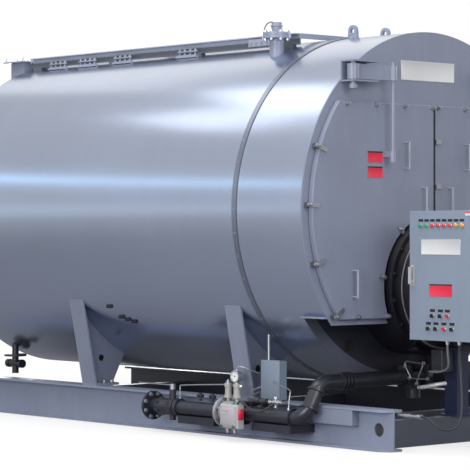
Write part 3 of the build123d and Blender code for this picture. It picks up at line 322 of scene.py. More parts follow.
@dataclass(frozen=True)
class Iron(Finish):
    """Lacquered pipe and castings: a pitted skin with brown mill scale showing through."""

    scale_colour: Colour = (0.09, 0.055, 0.04, 1.0)
    scale: float = 0.5

    def sockets(self, tree: Tree) -> dict:
        """Brown patches through the lacquer, and pits in the bump."""
        where = tree.where()
        pit = tree.noise(where, self.fineness, 3.0)
        patch = tree.ramp(tree.noise(where, 7.0, 6.0), 0.46, 0.68)
        lacquer = self.varied(tree, tree.ramp(pit, 0.3, 0.7))
        colour = tree.blend(patch * self.scale, lacquer, self.scale_colour)
        roughness = self.roughness + patch * 0.2 + (pit - 0.5) * 0.1
        return self.skin(colour, roughness, tree.bump(self.texture, 0.003, pit))


@dataclass(frozen=True)
class Plated(Finish):
    """Bright plated steel with a faint crystal mottle."""

    def sockets(self, tree: Tree) -> dict:
        """Crystals in tone and roughness."""
        where = tree.where()
        crystal = tree.add("TexVoronoi", {"Vector": where, "Scale": self.fineness}, "Color")
        grey = tree.add("SeparateColor", {"Color": crystal}, "Red")
        colour = self.varied(tree, grey * 0.6 + tree.noise(where, self.patch, 4.0) * 0.4)
        return self.skin(colour, self.roughness + grey * 0.12)


class Finishes:
    """Every finish on the boiler."""

    JACKET = Jacket("jacket_sheet", srgb(182, 192, 213), 0.22, 0.96, wander=0.025, texture=0.012, grain=0.03)
    # Grey enamel made darker as painted shade, for the skid's front beam, cross members and the clamp lugs, which lie
    # in shade.
    PAINTED_SHADE_GREY = Enamel("grey_enamel_painted_shade", srgb(76, 81, 94), 0.4, coat=0.1, wander=0.08, fineness=420.0)
    # The skid rails' enamel, with painted shade on their inner faces.
    SKID = Enamel("skid_enamel", srgb(133, 141, 163), 0.38, coat=0.12, wander=0.06, fineness=420.0, inner_shade=0.85)
    DRIVE = Enamel("drive_enamel", srgb(176, 172, 177), 0.4, coat=0.1, wander=0.05)
    STEEL_GREY = Enamel("clamp_enamel", srgb(140, 145, 162), 0.34, coat=0.2, wander=0.08, fineness=420.0)
    GREY = Enamel("grey_enamel", srgb(129, 136, 156), 0.38, coat=0.12, wander=0.06, fineness=420.0)
    RAIL = Enamel("rail_enamel", srgb(154, 162, 180), 0.38, coat=0.12, wander=0.06, fineness=420.0, shade_below=3.132)
    PANEL = Enamel("panel_coat", srgb(128, 141, 158), 0.42, coat=0.08, wander=0.04, fineness=700.0, dust=0.1)
    BLACK = Enamel("black_enamel", srgb(22, 23, 31), 0.34, coat=0.2, wander=0.2)
    NAVY = Enamel("navy_enamel", srgb(30, 37, 66), 0.36, coat=0.2, wander=0.12)
    CREAM = Enamel("cream_enamel", srgb(168, 166, 162), 0.4, coat=0.1, wander=0.05)
    ALLOY = Iron("cast_alloy", srgb(176, 176, 180), 0.42, 0.55, wander=0.12, fineness=140.0, texture=0.06,
                 scale_colour=srgb(120, 118, 122), scale=0.35)
    BAND = Jacket("band_steel", srgb(138, 144, 160), 0.30, 0.9, wander=0.06, texture=0.012, grain=0.05)
    RUBBER = Finish("black_rubber", srgb(20, 21, 25), 0.62, wander=0.15, fineness=500.0)
    # The heads' own dark colour, made darker still as painted shade: the front head lies in shade under the doors.
    DARK = Iron("dark_plate_painted_shade", srgb(35, 36, 49), 0.5, 0.15, wander=0.12, scale_colour=srgb(52, 50, 56), scale=0.3)
    PIPE = Iron("pipe_lacquer", srgb(46, 48, 58), 0.38, 0.35, coat=0.3, wander=0.15, fineness=90.0, texture=0.1,
                scale_colour=srgb(56, 55, 60), scale=0.35)
    ZINC = Plated("zinc_plate", srgb(172, 175, 182), 0.30, 0.92, wander=0.06, fineness=150.0)
    BRIGHT = Plated("bright_steel", srgb(206, 208, 212), 0.16, 1.0, wander=0.06, fineness=90.0)
    CONDUIT = Finish("conduit_jacket", srgb(120, 124, 130), 0.5, wander=0.08, fineness=160.0)
    # Near-black: painted shade for the dark inside of holes and ports.
    HOLE_SHADE = Finish("painted_hole_shade", srgb(6, 6, 8), 0.9, wander=0.1)
    SLEEVE = Finish("dark_conduit_jacket", srgb(36, 38, 46), 0.5, wander=0.08, fineness=160.0)
    RED = Finish("red_plate", srgb(222, 46, 72), 0.36, coat=0.15, wander=0.05)
    TAG = Finish("black_tag", srgb(26, 27, 30), 0.4, wander=0.1)
    PLATE = Finish("pale_plate", srgb(214, 215, 216), 0.34, 0.2, wander=0.04)
    LENS_GREEN = Finish("green_lens", srgb(24, 138, 100), 0.14, coat=0.6, wander=0.1, glow=0.08)
    # Glows a little; on the switch buttons and the drive's window this glow is painted light, since they are no lamps.
    LENS_RED = Finish("red_lens", srgb(190, 34, 58), 0.14, coat=0.6, wander=0.1, glow=0.08)
    LENS_AMBER = Finish("amber_lens", srgb(212, 142, 44), 0.14, coat=0.6, wander=0.1, glow=0.08)
    GREEN = Finish("green_cap", srgb(46, 132, 88), 0.4, wander=0.1)
    DIAL = Finish("dial_face", srgb(236, 236, 230), 0.4, wander=0.02)


def at(x: float, y: float, z: float) -> Matrix:
    """A frame that is only moved."""
    return Matrix.Translation((x, y, z))


def turn(degrees: float, axis: str) -> Matrix:
    """A frame that is only turned about an axis."""
    return Matrix.Rotation(math.radians(degrees), 4, axis)


def facing(place: Sequence[float], normal: Sequence[float]) -> Matrix:
    """A frame on a face: Z along its normal, Y up and X to the right.

    Args:
        place: Its origin.
        normal: The way the face looks.

    Returns:
        The frame.
    """
    return Matrix.Translation(Vector(place)) @ Vector(normal).to_track_quat("Z", "Y").to_matrix().to_4x4()


def round_about(place: Sequence[float], normal: Sequence[float], radius: float, count: int,
                first: float = 0.0) -> List[Matrix]:
    """Frames evenly round a circle on a face.

    Args:
        place: The circle's middle.
        normal: The way the face looks.
        radius: The circle's radius.
        count: How many.
        first: Where the first stands, in degrees.

    Returns:
        One frame a place.
    """
    base = facing(place, normal)
    angles = [math.radians(first + 360.0 * number / count) for number in range(count)]
    return [base @ at(radius * math.cos(angle), radius * math.sin(angle), 0.0) for angle in angles]


class Bench:
    """The modelling bench: stock goes on it and edit-mode operators shape it."""

    LEVEL = 0.99
    NUDGE = 1e-5
    WELD = 1e-6

    @staticmethod
    def hold(*pieces: Piece) -> Piece:
        """Selects only these pieces and makes the first of them active."""
        bpy.ops.object.select_all(action="DESELECT")
        for piece in pieces:
            piece.select_set(True)
        bpy.context.view_layer.objects.active = pieces[0]
        return pieces[0]

    @staticmethod
    def stock(add: Callable[..., set], extent: Triple, lift: Optional[float], **options: float) -> Piece:
        """Puts a piece of stock on the bench.

        Args:
            add: The operator that adds it.
            extent: Its whole size along each axis.
            lift: How high its middle is; without it, the stock stands on Z = 0.
            options: What else the operator takes.

        Returns:
            The stock, with its size and place in its mesh.
        """
        bpy.ops.object.select_all(action="DESELECT")
        add(location=(0.0, 0.0, extent[2] / 2.0 if lift is None else lift), **options)
        piece = bpy.context.object
        piece.scale = extent
        bpy.ops.object.transform_apply(location=True, rotation=True, scale=True)
        return piece

    @staticmethod
    def worked(piece: Piece, steps: Sequence[Pair], soft: float, segments: int) -> Piece:
        """Works steps into the top of a piece, each an inset and a rise, and rounds its edges."""
        for inset, rise in steps:
            Bench.step(piece, inset, rise)
        return Bench.soften(piece, soft, segments) if soft else piece

    @staticmethod
    def block(extent: Triple, *steps: Pair, soft: float = 0.0, segments: int = 2,
              lift: Optional[float] = None) -> Piece:
        """A block, worked by steps and rounded.

        Args:
            extent: Its whole size along each axis.
            steps: An inset and a rise each.
            soft: How far the rounding reaches, if there is one.
            segments: The rounding's steps.
            lift: How high its middle is; without it, the block stands on Z = 0.

        Returns:
            The block.
        """
        piece = Bench.stock(bpy.ops.mesh.primitive_cube_add, extent, lift, size=1.0)
        return Bench.worked(piece, steps, soft, segments)

    @staticmethod
    def rod(across: float, height: float, *steps: Pair, sides: int = 24, soft: float = 0.0, segments: int = 2,
            lift: Optional[float] = None) -> Piece:
        """An upright rod, worked like a block.

        Args:
            across, height: Its size.
            steps, soft, segments, lift: The same as a block's.
            sides: Sides of the round.

        Returns:
            The rod.
        """
        piece = Bench.stock(bpy.ops.mesh.primitive_cylinder_add, (across, across, height), lift, vertices=sides,
                            radius=0.5, depth=1.0)
        return Bench.worked(piece, steps, soft, segments)

    @staticmethod
    def dome(extent: Triple, lift: float, cut: float, sides: int = 20) -> Piece:
        """A ball without the faces that lie below a height.

        Args:
            extent: The ball's whole size along each axis.
            lift: How high its middle is.
            cut: The height.
            sides: Sides of the round.

        Returns:
            The dome.
        """
        piece = Bench.stock(bpy.ops.mesh.primitive_uv_sphere_add, extent, lift, segments=sides,
                            ring_count=sides // 2, radius=0.5)
        with Bench.faces(piece, lambda face: face.center.z < cut):
            bpy.ops.mesh.delete(type="FACE")
        return piece

    @staticmethod
    @contextmanager
    def faces(piece: Piece, test: Callable[[Face], bool]) -> Iterator[None]:
        """Opens a piece in edit mode with the faces that pass a test selected, and closes it afterwards.

        Args:
            piece: The piece to open.
            test: Takes a face and says whether it is wanted.
        """
        Bench.hold(piece)
        bpy.ops.object.mode_set(mode="EDIT")
        bpy.ops.mesh.select_mode(type="FACE")
        bpy.ops.mesh.select_all(action="DESELECT")
        bpy.ops.object.mode_set(mode="OBJECT")
        for face in piece.data.polygons:
            face.select = test(face)
        bpy.ops.object.mode_set(mode="EDIT")
        yield
        bpy.ops.object.mode_set(mode="OBJECT")

    @staticmethod
    def highest(piece: Piece) -> Callable[[Face], bool]:
        """A test for the faces that look up at the very top of a piece."""
        top = max(vertex.co.z for vertex in piece.data.vertices)
        return lambda face: face.normal.z > Bench.LEVEL and face.center.z > top - Bench.NUDGE

    @staticmethod
    def raised(rise: float) -> None:
        """Extrudes the selected faces along Z."""
        bpy.ops.mesh.extrude_region_move(TRANSFORM_OT_translate={"value": (0.0, 0.0, rise)})

    @staticmethod
    def step(piece: Piece, inset: float, rise: float) -> None:
        """Insets the top face and moves it along Z, up as a step or down as a recess.

        Args:
            piece: The piece on the bench.
            inset: How far in the step stands.
            rise: How high it goes.
        """
        with Bench.faces(piece, Bench.highest(piece)):
            bpy.ops.mesh.inset(thickness=inset, depth=0.0)
            Bench.raised(rise)

    @staticmethod
    def soften(piece: Piece, width: float, segments: int = 2, angle: float = 40.0) -> Piece:
        """Rounds the edges sharper than an angle.

        Args:
            piece: The piece on the bench.
            width: How far the rounding reaches.
            segments: Its steps.
            angle: In degrees.

        Returns:
            The same piece.
        """
        Bench.hold(piece)
        rounding = piece.modifiers.new("round", "BEVEL")
        rounding.width = width
        rounding.segments = segments
        rounding.limit_method = "ANGLE"
        rounding.angle_limit = math.radians(angle)
        bpy.ops.object.modifier_apply(modifier=rounding.name)
        return piece

    @staticmethod
    def line(name: str, route: Sequence[Triple], radius: float, along: int, around: int) -> Piece:
        """Bends a round line with closed ends along a smooth spline.

        Args:
            name: Its name.
            route: Its control points; a point given twice makes a tighter corner.
            radius: Its radius.
            along, around: How fine it is.

        Returns:
            The line, as a curve.
        """
        data = bpy.data.curves.new(name, "CURVE")
        data.dimensions = "3D"
        line = data.splines.new("NURBS")
        line.points.add(len(route) - 1)
        for point, place in zip(line.points, route):
            point.co = (*place, 1.0)
        line.order_u = 3
        line.use_endpoint_u = True
        line.resolution_u = along
        data.bevel_depth = radius
        data.bevel_resolution = around
        data.use_fill_caps = True
        piece = bpy.data.objects.new(name, data)
        bpy.context.scene.collection.objects.link(piece)
        return piece

    @staticmethod
    def tube(route: Sequence[Triple], radius: float) -> Piece:
        """A rigid tube along a smooth line, as a mesh."""
        Bench.hold(Bench.line("tube", route, radius, 6, 3))
        bpy.ops.object.convert(target="MESH")
        return bpy.context.object

    @staticmethod
    def turned(steps: Sequence[Pair], sides: int = 24) -> Piece:
        """Turns a round piece from its steps, standing on Z = 0.

        Args:
            steps: A radius and a length each, from the foot up.
            sides: Sides of the round.

        Returns:
            The turned piece.
        """
        piece = Bench.rod(2.0 * steps[0][0], steps[0][1], sides=sides)
        for (before, _), (radius, length) in zip(steps, steps[1:]):
            with Bench.faces(piece, Bench.highest(piece)):
                Bench.raised(0.0)
                bpy.ops.transform.resize(value=(radius / before, radius / before, 1.0))
                Bench.raised(length)
        with Bench.faces(piece, lambda face: True):
            bpy.ops.mesh.remove_doubles(threshold=Bench.WELD)
        return piece

    @staticmethod
    def join(pieces: Sequence[Piece]) -> Piece:
        """Joins pieces into the first of them."""
        Bench.hold(*pieces)
        if len(pieces) > 1:
            bpy.ops.object.join()
        return pieces[0]

    @staticmethod
    def moved(piece: Piece, frame_at: Matrix) -> Piece:
        """Moves a piece's mesh into a frame."""
        piece.data.transform(frame_at)
        piece.data.update()
        return piece

    @staticmethod
    def spread(pattern: Piece, frames: Iterable[Matrix]) -> Piece:
        """Copies a pattern into each frame, each copy with its own mesh, and joins them.

        Args:
            pattern: The modelled piece, which is used up.
            frames: Where the copies go.

        Returns:
            The joined copies.
        """
        made: List[Piece] = []
        for place in frames:
            copy = pattern.copy()
            copy.data = pattern.data.copy()
            bpy.context.scene.collection.objects.link(copy)
            made.append(Bench.moved(copy, place))
        bpy.data.objects.remove(pattern)
        return Bench.join(made)

    @staticmethod
    def seat(piece: Piece, name: str, slot: Slot, finish: Finish, frames: Iterable[Matrix] = (),
             body: Body = Body.BOILER, smooth: float = 38.0) -> None:
        """Names, paints and seats a finished piece, or the copies of it.

        Args:
            piece: The piece, in place unless there are frames.
            name: Its name.
            slot: The record's slot it would belong to; not used.
            finish: What it is painted with.
            frames: Where its copies go.
            body: What it rides on.
            smooth: Edges flatter than this angle shade smooth, in degrees.
        """
        if frames:
            piece = Bench.spread(piece, frames)
        piece.name = name
        piece.data.name = name
        piece.data.materials.clear()
        piece.data.materials.append(finish.material())
        Bench.hold(piece)
        bpy.ops.object.shade_smooth_by_angle(angle=math.radians(smooth))
        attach(piece, body.value)
        LOG.info("%s: %d faces", name, len(piece.data.polygons))


@dataclass
class Studio:
    """The camera at the photographer's place, a pale floor and soft lamps."""

    eye: Triple = (13.7227, -12.4488, 1.6085)
    heading: float = 48.75
    lens: float = 169.8
    shift: Pair = (0.0211, -0.0096)
    sky: float = 0.42
    mirrored_sky: float = 0.42
    mirrored_floor: float = 0.06
    far_floor: float = 0.34
    floor_glow: float = 0.66
    floor_size: float = 60.0
    sensor: float = 36.0
    reach: float = 200.0
    floor_lit: Colour = (0.24, 0.24, 0.26, 1.0)
    floor_seen: Colour = (0.86, 0.86, 0.86, 1.0)
    cool: Triple = (0.52, 0.80, 1.0)
    warm: Triple = (1.0, 0.94, 0.86)

    def camera(self) -> None:
        """Sets the camera up."""
        data = bpy.data.cameras.new("camera")
        data.sensor_width = self.sensor
        data.lens = self.lens
        data.shift_x, data.shift_y = self.shift
        data.clip_end = self.reach
        camera = bpy.data.objects.new("camera", data)
        camera.location = self.eye
        camera.rotation_euler = (math.radians(90.0), 0.0, math.radians(self.heading))
        bpy.context.scene.collection.objects.link(camera)
        bpy.context.scene.camera = camera

    def seen(self, tree: Tree, mirrored: Value) -> Wire:
        """How much of the white surround a ray sees.

        Args:
            tree: The tree being written.
            mirrored: The share that a mirror or a window shows of it.

        Returns:
            1 for the camera, the share for reflections, 0 for what only lights.
        """
        camera, glossy, passed = (tree.add("LightPath", out=f"Is {ray} Ray")
                                  for ray in ("Camera", "Glossy", "Transmission"))
        return tree.ramp(camera + (glossy + passed) * mirrored, 0.0, 1.0)

    def surround(self) -> None:
        """A white surround that lights softly."""
        world = bpy.data.worlds.new("surround")
        bpy.context.scene.world = world
        tree = Tree(world)
        strength = self.seen(tree, self.mirrored_sky) * (1.0 - self.sky) + self.sky
        tree.add("OutputWorld", {"Surface": tree.add("Background", {"Color": WHITE, "Strength": strength})})

    def floor(self) -> None:
        """A pale floor that keeps the shadow."""
        bpy.ops.object.select_all(action="DESELECT")
        bpy.ops.mesh.primitive_plane_add(size=self.floor_size, location=(0.0, 0.0, -0.001))
        floor = bpy.context.object
        floor.name = "floor"
        paint = bpy.data.materials.new("floor_pale")
        tree = Tree(paint)
        colour = tree.blend(tree.add("LightPath", out="Is Camera Ray"), self.floor_lit, self.floor_seen)
        matt = tree.add("BsdfDiffuse", {"Color": colour})
        glow = tree.add("Emission", {"Color": WHITE, "Strength": 1.0})
        where = tree.where()
        far = tree.ramp(tree.axis(where, "Y") * -1.0, 2.0, 9.0) * self.far_floor + self.mirrored_floor
        distance = tree.add("VectorMath", {0: where}, "Value", operation="LENGTH")
        fade = tree.ramp(distance, 5.0, 15.0) * (1.0 - self.floor_glow) + self.floor_glow
        both = tree.add("MixShader", {0: self.seen(tree, far) * fade, 1: matt, 2: glow})
        tree.add("OutputMaterial", {"Surface": both})
        floor.data.materials.append(paint)

    def lamp(self, name: str, place: Triple, aim: Triple, size: Pair, watts: float,
             tint: Triple = (1.0, 1.0, 1.0)) -> None:
        """Hangs one soft lamp.

        Args:
            name: Its name.
            place: Where it hangs.
            aim: What it looks at.
            size: Its width and height.
            watts: Its power.
            tint: Its colour.
        """
        data = bpy.data.lights.new(name, "AREA")
        data.shape = "RECTANGLE"
        data.size, data.size_y = size
        data.energy = watts
        data.color = tint
        lamp = bpy.data.objects.new(name, data)
        lamp.matrix_world = facing(place, Vector(place) - Vector(aim))
        bpy.context.scene.collection.objects.link(lamp)

    def lamps(self) -> None:
        """Overhead key, two roof lights and two strips that the drum mirrors, and a fill on every side."""
        self.lamp("overhead", (1.0, -3.0, 9.0), (0.0, 0.0, 1.5), (9.0, 6.0), 620.0)
        self.lamp("roof_light", (-4.55, -3.1, 6.65), (0.6, -1.1, 2.5), (1.6, 1.1), 8.2)
        self.lamp("front_roof_light", (-3.0, -1.95, 6.8), (1.6, -1.05, 2.6), (2.2, 1.25), 15.0)
        self.lamp("rear_panel", (-5.6, 3.9, 7.4), (-0.5, 0.0, 3.0), (9.0, 3.2), 50.0, self.warm)
        self.lamp("side_strip", (-7.4, -6.9, 4.15), (-0.4, -1.34, 2.0), (7.5, 0.40), 18.5, self.cool)
        self.lamp("low_strip", (-7.6, -7.3, 1.95), (-0.4, -1.36, 1.8), (7.5, 0.55), 5.8, self.cool)
        self.lamp("side_fill", (4.0, -11.0, 2.7), (0.5, -1.0, 0.8), (7.0, 4.0), 560.0)
        self.lamp("front_fill", (10.0, -3.0, 4.5), (1.8, -0.2, 1.5), (5.0, 4.0), 290.0)
        self.lamp("rear_fill", (-11.0, 6.0, 3.2), (-2.7, 0.0, 1.6), (5.0, 3.5), 420.0)
        self.lamp("right_fill", (1.0, 12.0, 3.4), (0.0, 1.0, 1.4), (8.0, 3.5), 480.0)

    def build(self) -> None:
        """Camera, surround, floor and lamps."""
        self.camera()
        self.surround()
        self.floor()
        self.lamps()
        bpy.context.scene.view_settings.view_transform = "Standard"


@dataclass
class FlexibleConduits:
    """The two hanging conduits under the control cabinet."""

    radius: float = 0.0085
    servo: Route = (
        (2.665, -0.600, 0.808), (2.665, -0.600, 0.728), (2.650, -0.570, 0.655), (2.600, -0.520, 0.605),
        (2.520, -0.478, 0.575), (2.430, -0.440, 0.562), (2.340, -0.408, 0.555), (2.268, -0.366, 0.551),
        (2.214, -0.316, 0.548), (2.179, -0.259, 0.547), (2.179, -0.1995, 0.547),
    )
    skid: Route = (
        (2.782, -0.600, 0.808), (2.782, -0.600, 0.730), (2.798, -0.613, 0.655), (2.822, -0.632, 0.580),
        (2.850, -0.655, 0.495), (2.876, -0.678, 0.405), (2.896, -0.700, 0.318), (2.906, -0.724, 0.248),
        (2.904, -0.752, 0.204), (2.888, -0.792, 0.184), (2.864, -0.832, 0.181), (2.832, -0.866, 0.194),
        (2.790, -0.884, 0.230), (2.742, -0.890, 0.268), (2.685, -0.890, 0.268),
    )

    def lay(self, name: str, route: Route, length: float, finish: Finish) -> None:
        """Lays one conduit on a smooth spline.

        Args:
            name: The CAD node it stands for, whose name it takes with a suffix.
            route: Its control points.
            length: Its length in metres.
            finish: Its finish.
        """
        piece = Bench.line(name + "_line", route, self.radius, 12, 5)
        piece.data.materials.append(finish.material())
        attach(piece, Body.BOILER.value)
        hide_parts(name)
        LOG.info("%s laid, %.3f m", name, length)

    def build(self) -> None:
        """Both conduits."""
        self.lay("servo_conduit", self.servo, 0.80, Finishes.CONDUIT)
        self.lay("skid_conduit", self.skid, 0.94, Finishes.SLEEVE)


@dataclass
class Hardware:
    """Bolts and screws, each kind modelled once and copied."""

    gas_axis: Pair = (-1.150, 0.208)
    burner_face: float = 2.030
    burner_circle: float = 0.510
    rings: Tuple[Tuple[float, Triple, float, int, float], ...] = (
        (-0.045, BACK, FLANGE_CIRCLE, 8, 22.5), (-0.021, FORWARD, FLANGE_CIRCLE, 8, 22.5),
        (0.822, BACK, FLANGE_CIRCLE, 8, 22.5), (0.846, FORWARD, FLANGE_CIRCLE, 8, 22.5),
        (1.036, BACK, 0.070, 4, 45.0), (1.084, FORWARD, 0.070, 4, 45.0),
    )

    @staticmethod
    def bolt(across: float, height: float) -> Piece:
        """A hexagon head on its washer, standing on Z = 0.

        Args:
            across: The head's width over its corners.
            height: The head's height.

        Returns:
            The bolt's head.
        """
        washer = Bench.rod(across * 1.3, height * 0.2, sides=16, soft=height * 0.06, segments=1)
        head = Bench.rod(across, height * 0.7, (across * 0.07, height * 0.1), sides=6, lift=height * 0.55)
        return Bench.join([head, washer])

    @staticmethod
    def screw(size: float) -> Piece:
        """A slotted pan head standing on Z = 0."""
        head = Bench.rod(size, size * 0.35, sides=16, soft=size * 0.1)
        with Bench.faces(head, Bench.highest(head)):
            bpy.ops.mesh.inset(thickness=size * 0.12, depth=-size * 0.06)
        return head

    def build(self) -> None:
        """Bolts on every flange of the gas line and round the burner's mounting ring."""
        frames: List[Matrix] = []
        for place, way, circle, count, first in self.rings:
            frames += round_about((place, *self.gas_axis), way, circle, count, first)
        Bench.seat(self.bolt(0.027, 0.016), "gas_flange_bolts", Slot.ZINC, Finishes.ZINC, frames)
        frames = round_about((self.burner_face, 0.0, BURNER_Z), FORWARD, self.burner_circle, 16, 11.25)
        Bench.seat(self.bolt(0.026, 0.016), "burner_ring_bolts", Slot.BLACK, Finishes.BLACK, frames)


@dataclass
class BarePlates:
    """The bare plates on the left door and on the arch above the doors."""

    arch: Triple = (1.930, -0.034, 2.829)
    red_plates: Tuple[Pair, ...] = ((-0.653, 2.1545), (-0.653, 2.041))
    strip_rise: float = 0.0415
    thickness: float = 0.003

    @staticmethod
    def plate(width: float, height: float, rim: float) -> Piece:
        """A thin plate with a raised rim and rounded corners, standing on Z = 0.

        Args:
            width, height: Its outline.
            rim: The rim's width.

        Returns:
            The plate.
        """
        thickness = BarePlates.thickness
        return Bench.block((width, height, thickness), (rim, -thickness * 0.35), soft=thickness * 0.3)

    def build(self) -> None:
        """Two red plates with their dark strips, and one pale plate."""
        places = [facing((DOOR_FACE, y, z), FORWARD) for y, z in self.red_plates]
        Bench.seat(self.plate(0.156, 0.072, 0.004), "door_red_plates", Slot.WHITE, Finishes.RED, places,
                   Body.LEFT_DOOR)
        strips = [facing((DOOR_FACE, y, z + self.strip_rise), FORWARD) for y, z in self.red_plates]
        Bench.seat(self.plate(0.156, 0.011, 0.002), "door_plate_strips", Slot.BLACK, Finishes.TAG, strips,
                   Body.LEFT_DOOR)
        Bench.seat(self.plate(0.590, 0.148, 0.006), "arch_plate", Slot.WHITE, Finishes.PLATE,
                   [facing(self.arch, FORWARD)])


@dataclass
class PanelFace:
    """Pilot lights, switches, tags and bare plates on the control cabinet's door."""

    face: float = -0.700
    light_first: float = 2.495
    light_pitch: float = 0.0579
    light_height: float = 1.646
    upper_switches: Tuple[float, ...] = (2.611, 2.690, 2.759)
    upper_height: float = 0.989
    lower_switches: Tuple[float, ...] = (2.571, 2.645, 2.724, 2.803)
    lower_height: float = 0.895
    light_tag_rise: float = 0.036
    switch_tag_rise: float = 0.038

    def on_face(self, x: float, z: float, proud: float = 0.0) -> Matrix:
        """A frame on the door's face."""
        return facing((x, self.face - proud, z), NEAR)

    def mount(self, piece: Piece, name: str, slot: Slot, finish: Finish, spots: Iterable[Pair]) -> None:
        """Seats a copy of a piece at each spot on the door's face."""
        Bench.seat(piece, name, slot, finish, [self.on_face(*spot) for spot in spots], Body.PANEL_DOOR)

    def bezel(self, size: float) -> Piece:
        """A ring nut round a lamp or a switch."""
        return Bench.rod(size, 0.008, (size * 0.17, -0.004), soft=0.0012)

    def knob(self) -> Piece:
        """A switch's knob with a grip across it."""
        base = Bench.rod(0.030, 0.012, soft=0.002, lift=0.010)
        return Bench.join([base, Bench.block((0.008, 0.028, 0.014), soft=0.002, lift=0.021)])

    def tag(self, width: float, height: float) -> Piece:
        """A small bare engraving tag."""
        return Bench.block((width, height, 0.002), (0.0015, -0.0004), soft=0.0003, segments=1)

    def lights(self) -> None:
        """Eight pilot lights in a row."""
        spots = [(self.light_first + number * self.light_pitch, self.light_height) for number in range(8)]
        self.mount(self.bezel(0.042), "pilot_rings", Slot.ZINC, Finishes.BRIGHT, spots)
        colours = (("green", Finishes.LENS_GREEN, spots[:2]), ("red", Finishes.LENS_RED, spots[2:6]),
                   ("amber", Finishes.LENS_AMBER, spots[6:]))
        for word, finish, lit in colours:
            self.mount(Bench.dome((0.034, 0.034, 0.034 * 0.8), 0.006, 0.003), "pilot_" + word, Slot.PANEL, finish, lit)
        tags = [(x, z + self.light_tag_rise) for x, z in spots]
        self.mount(self.tag(0.044, 0.018), "pilot_tags", Slot.BLACK, Finishes.TAG, tags)

    def switches(self) -> None:
        """Two rows of switches, one red button in each."""
        upper = [(x, self.upper_height) for x in self.upper_switches]
        lower = [(x, self.lower_height) for x in self.lower_switches]
        every, red = upper + lower, [upper[2], lower[2]]
        self.mount(self.bezel(0.044), "switch_rings", Slot.ZINC, Finishes.BRIGHT, every)
        black = [spot for spot in every if spot not in red]
        self.mount(self.knob(), "switch_knobs", Slot.BLACK, Finishes.TAG, black)
        # The red buttons wear the glowing lens finish: a painted glow on a part that is no lamp.
        button = Bench.rod(0.028, 0.014, (0.004, -0.0015), soft=0.0015, lift=0.012)
        self.mount(button, "switch_buttons", Slot.PANEL, Finishes.LENS_RED, red)
        tags = [(x, z + self.switch_tag_rise) for x, z in every]
        self.mount(self.tag(0.048, 0.020), "switch_tags", Slot.BLACK, Finishes.TAG, tags)

    def plates(self) -> None:
        """A pale plate, a red plate and a small corner plate, all bare."""
        rows = (
            ("panel_plate", Slot.WHITE, Finishes.PLATE, (((0.386, 0.110, 0.005), (2.693, 1.488)),)),
            ("panel_red_plate", Slot.WHITE, Finishes.RED,
             (((0.222, 0.078, 0.004), (2.692, 1.169)), ((0.060, 0.010, 0.002), (2.966, 1.739, 0.0025)))),
            ("panel_plate_strip", Slot.BLACK, Finishes.TAG, (((0.222, 0.010, 0.002), (2.692, 1.214)),)),
            ("panel_corner_plate", Slot.WHITE, Finishes.PLATE, (((0.066, 0.030, 0.002), (2.966, 1.729)),)),
        )
        for name, slot, finish, parts in rows:
            pieces = [Bench.moved(BarePlates.plate(*size), self.on_face(*spot)) for size, spot in parts]
            Bench.seat(Bench.join(pieces), name, slot, finish, body=Body.PANEL_DOOR)

    def build(self) -> None:
        """Everything on the cabinet's door."""
        self.lights()
        self.switches()
        self.plates()


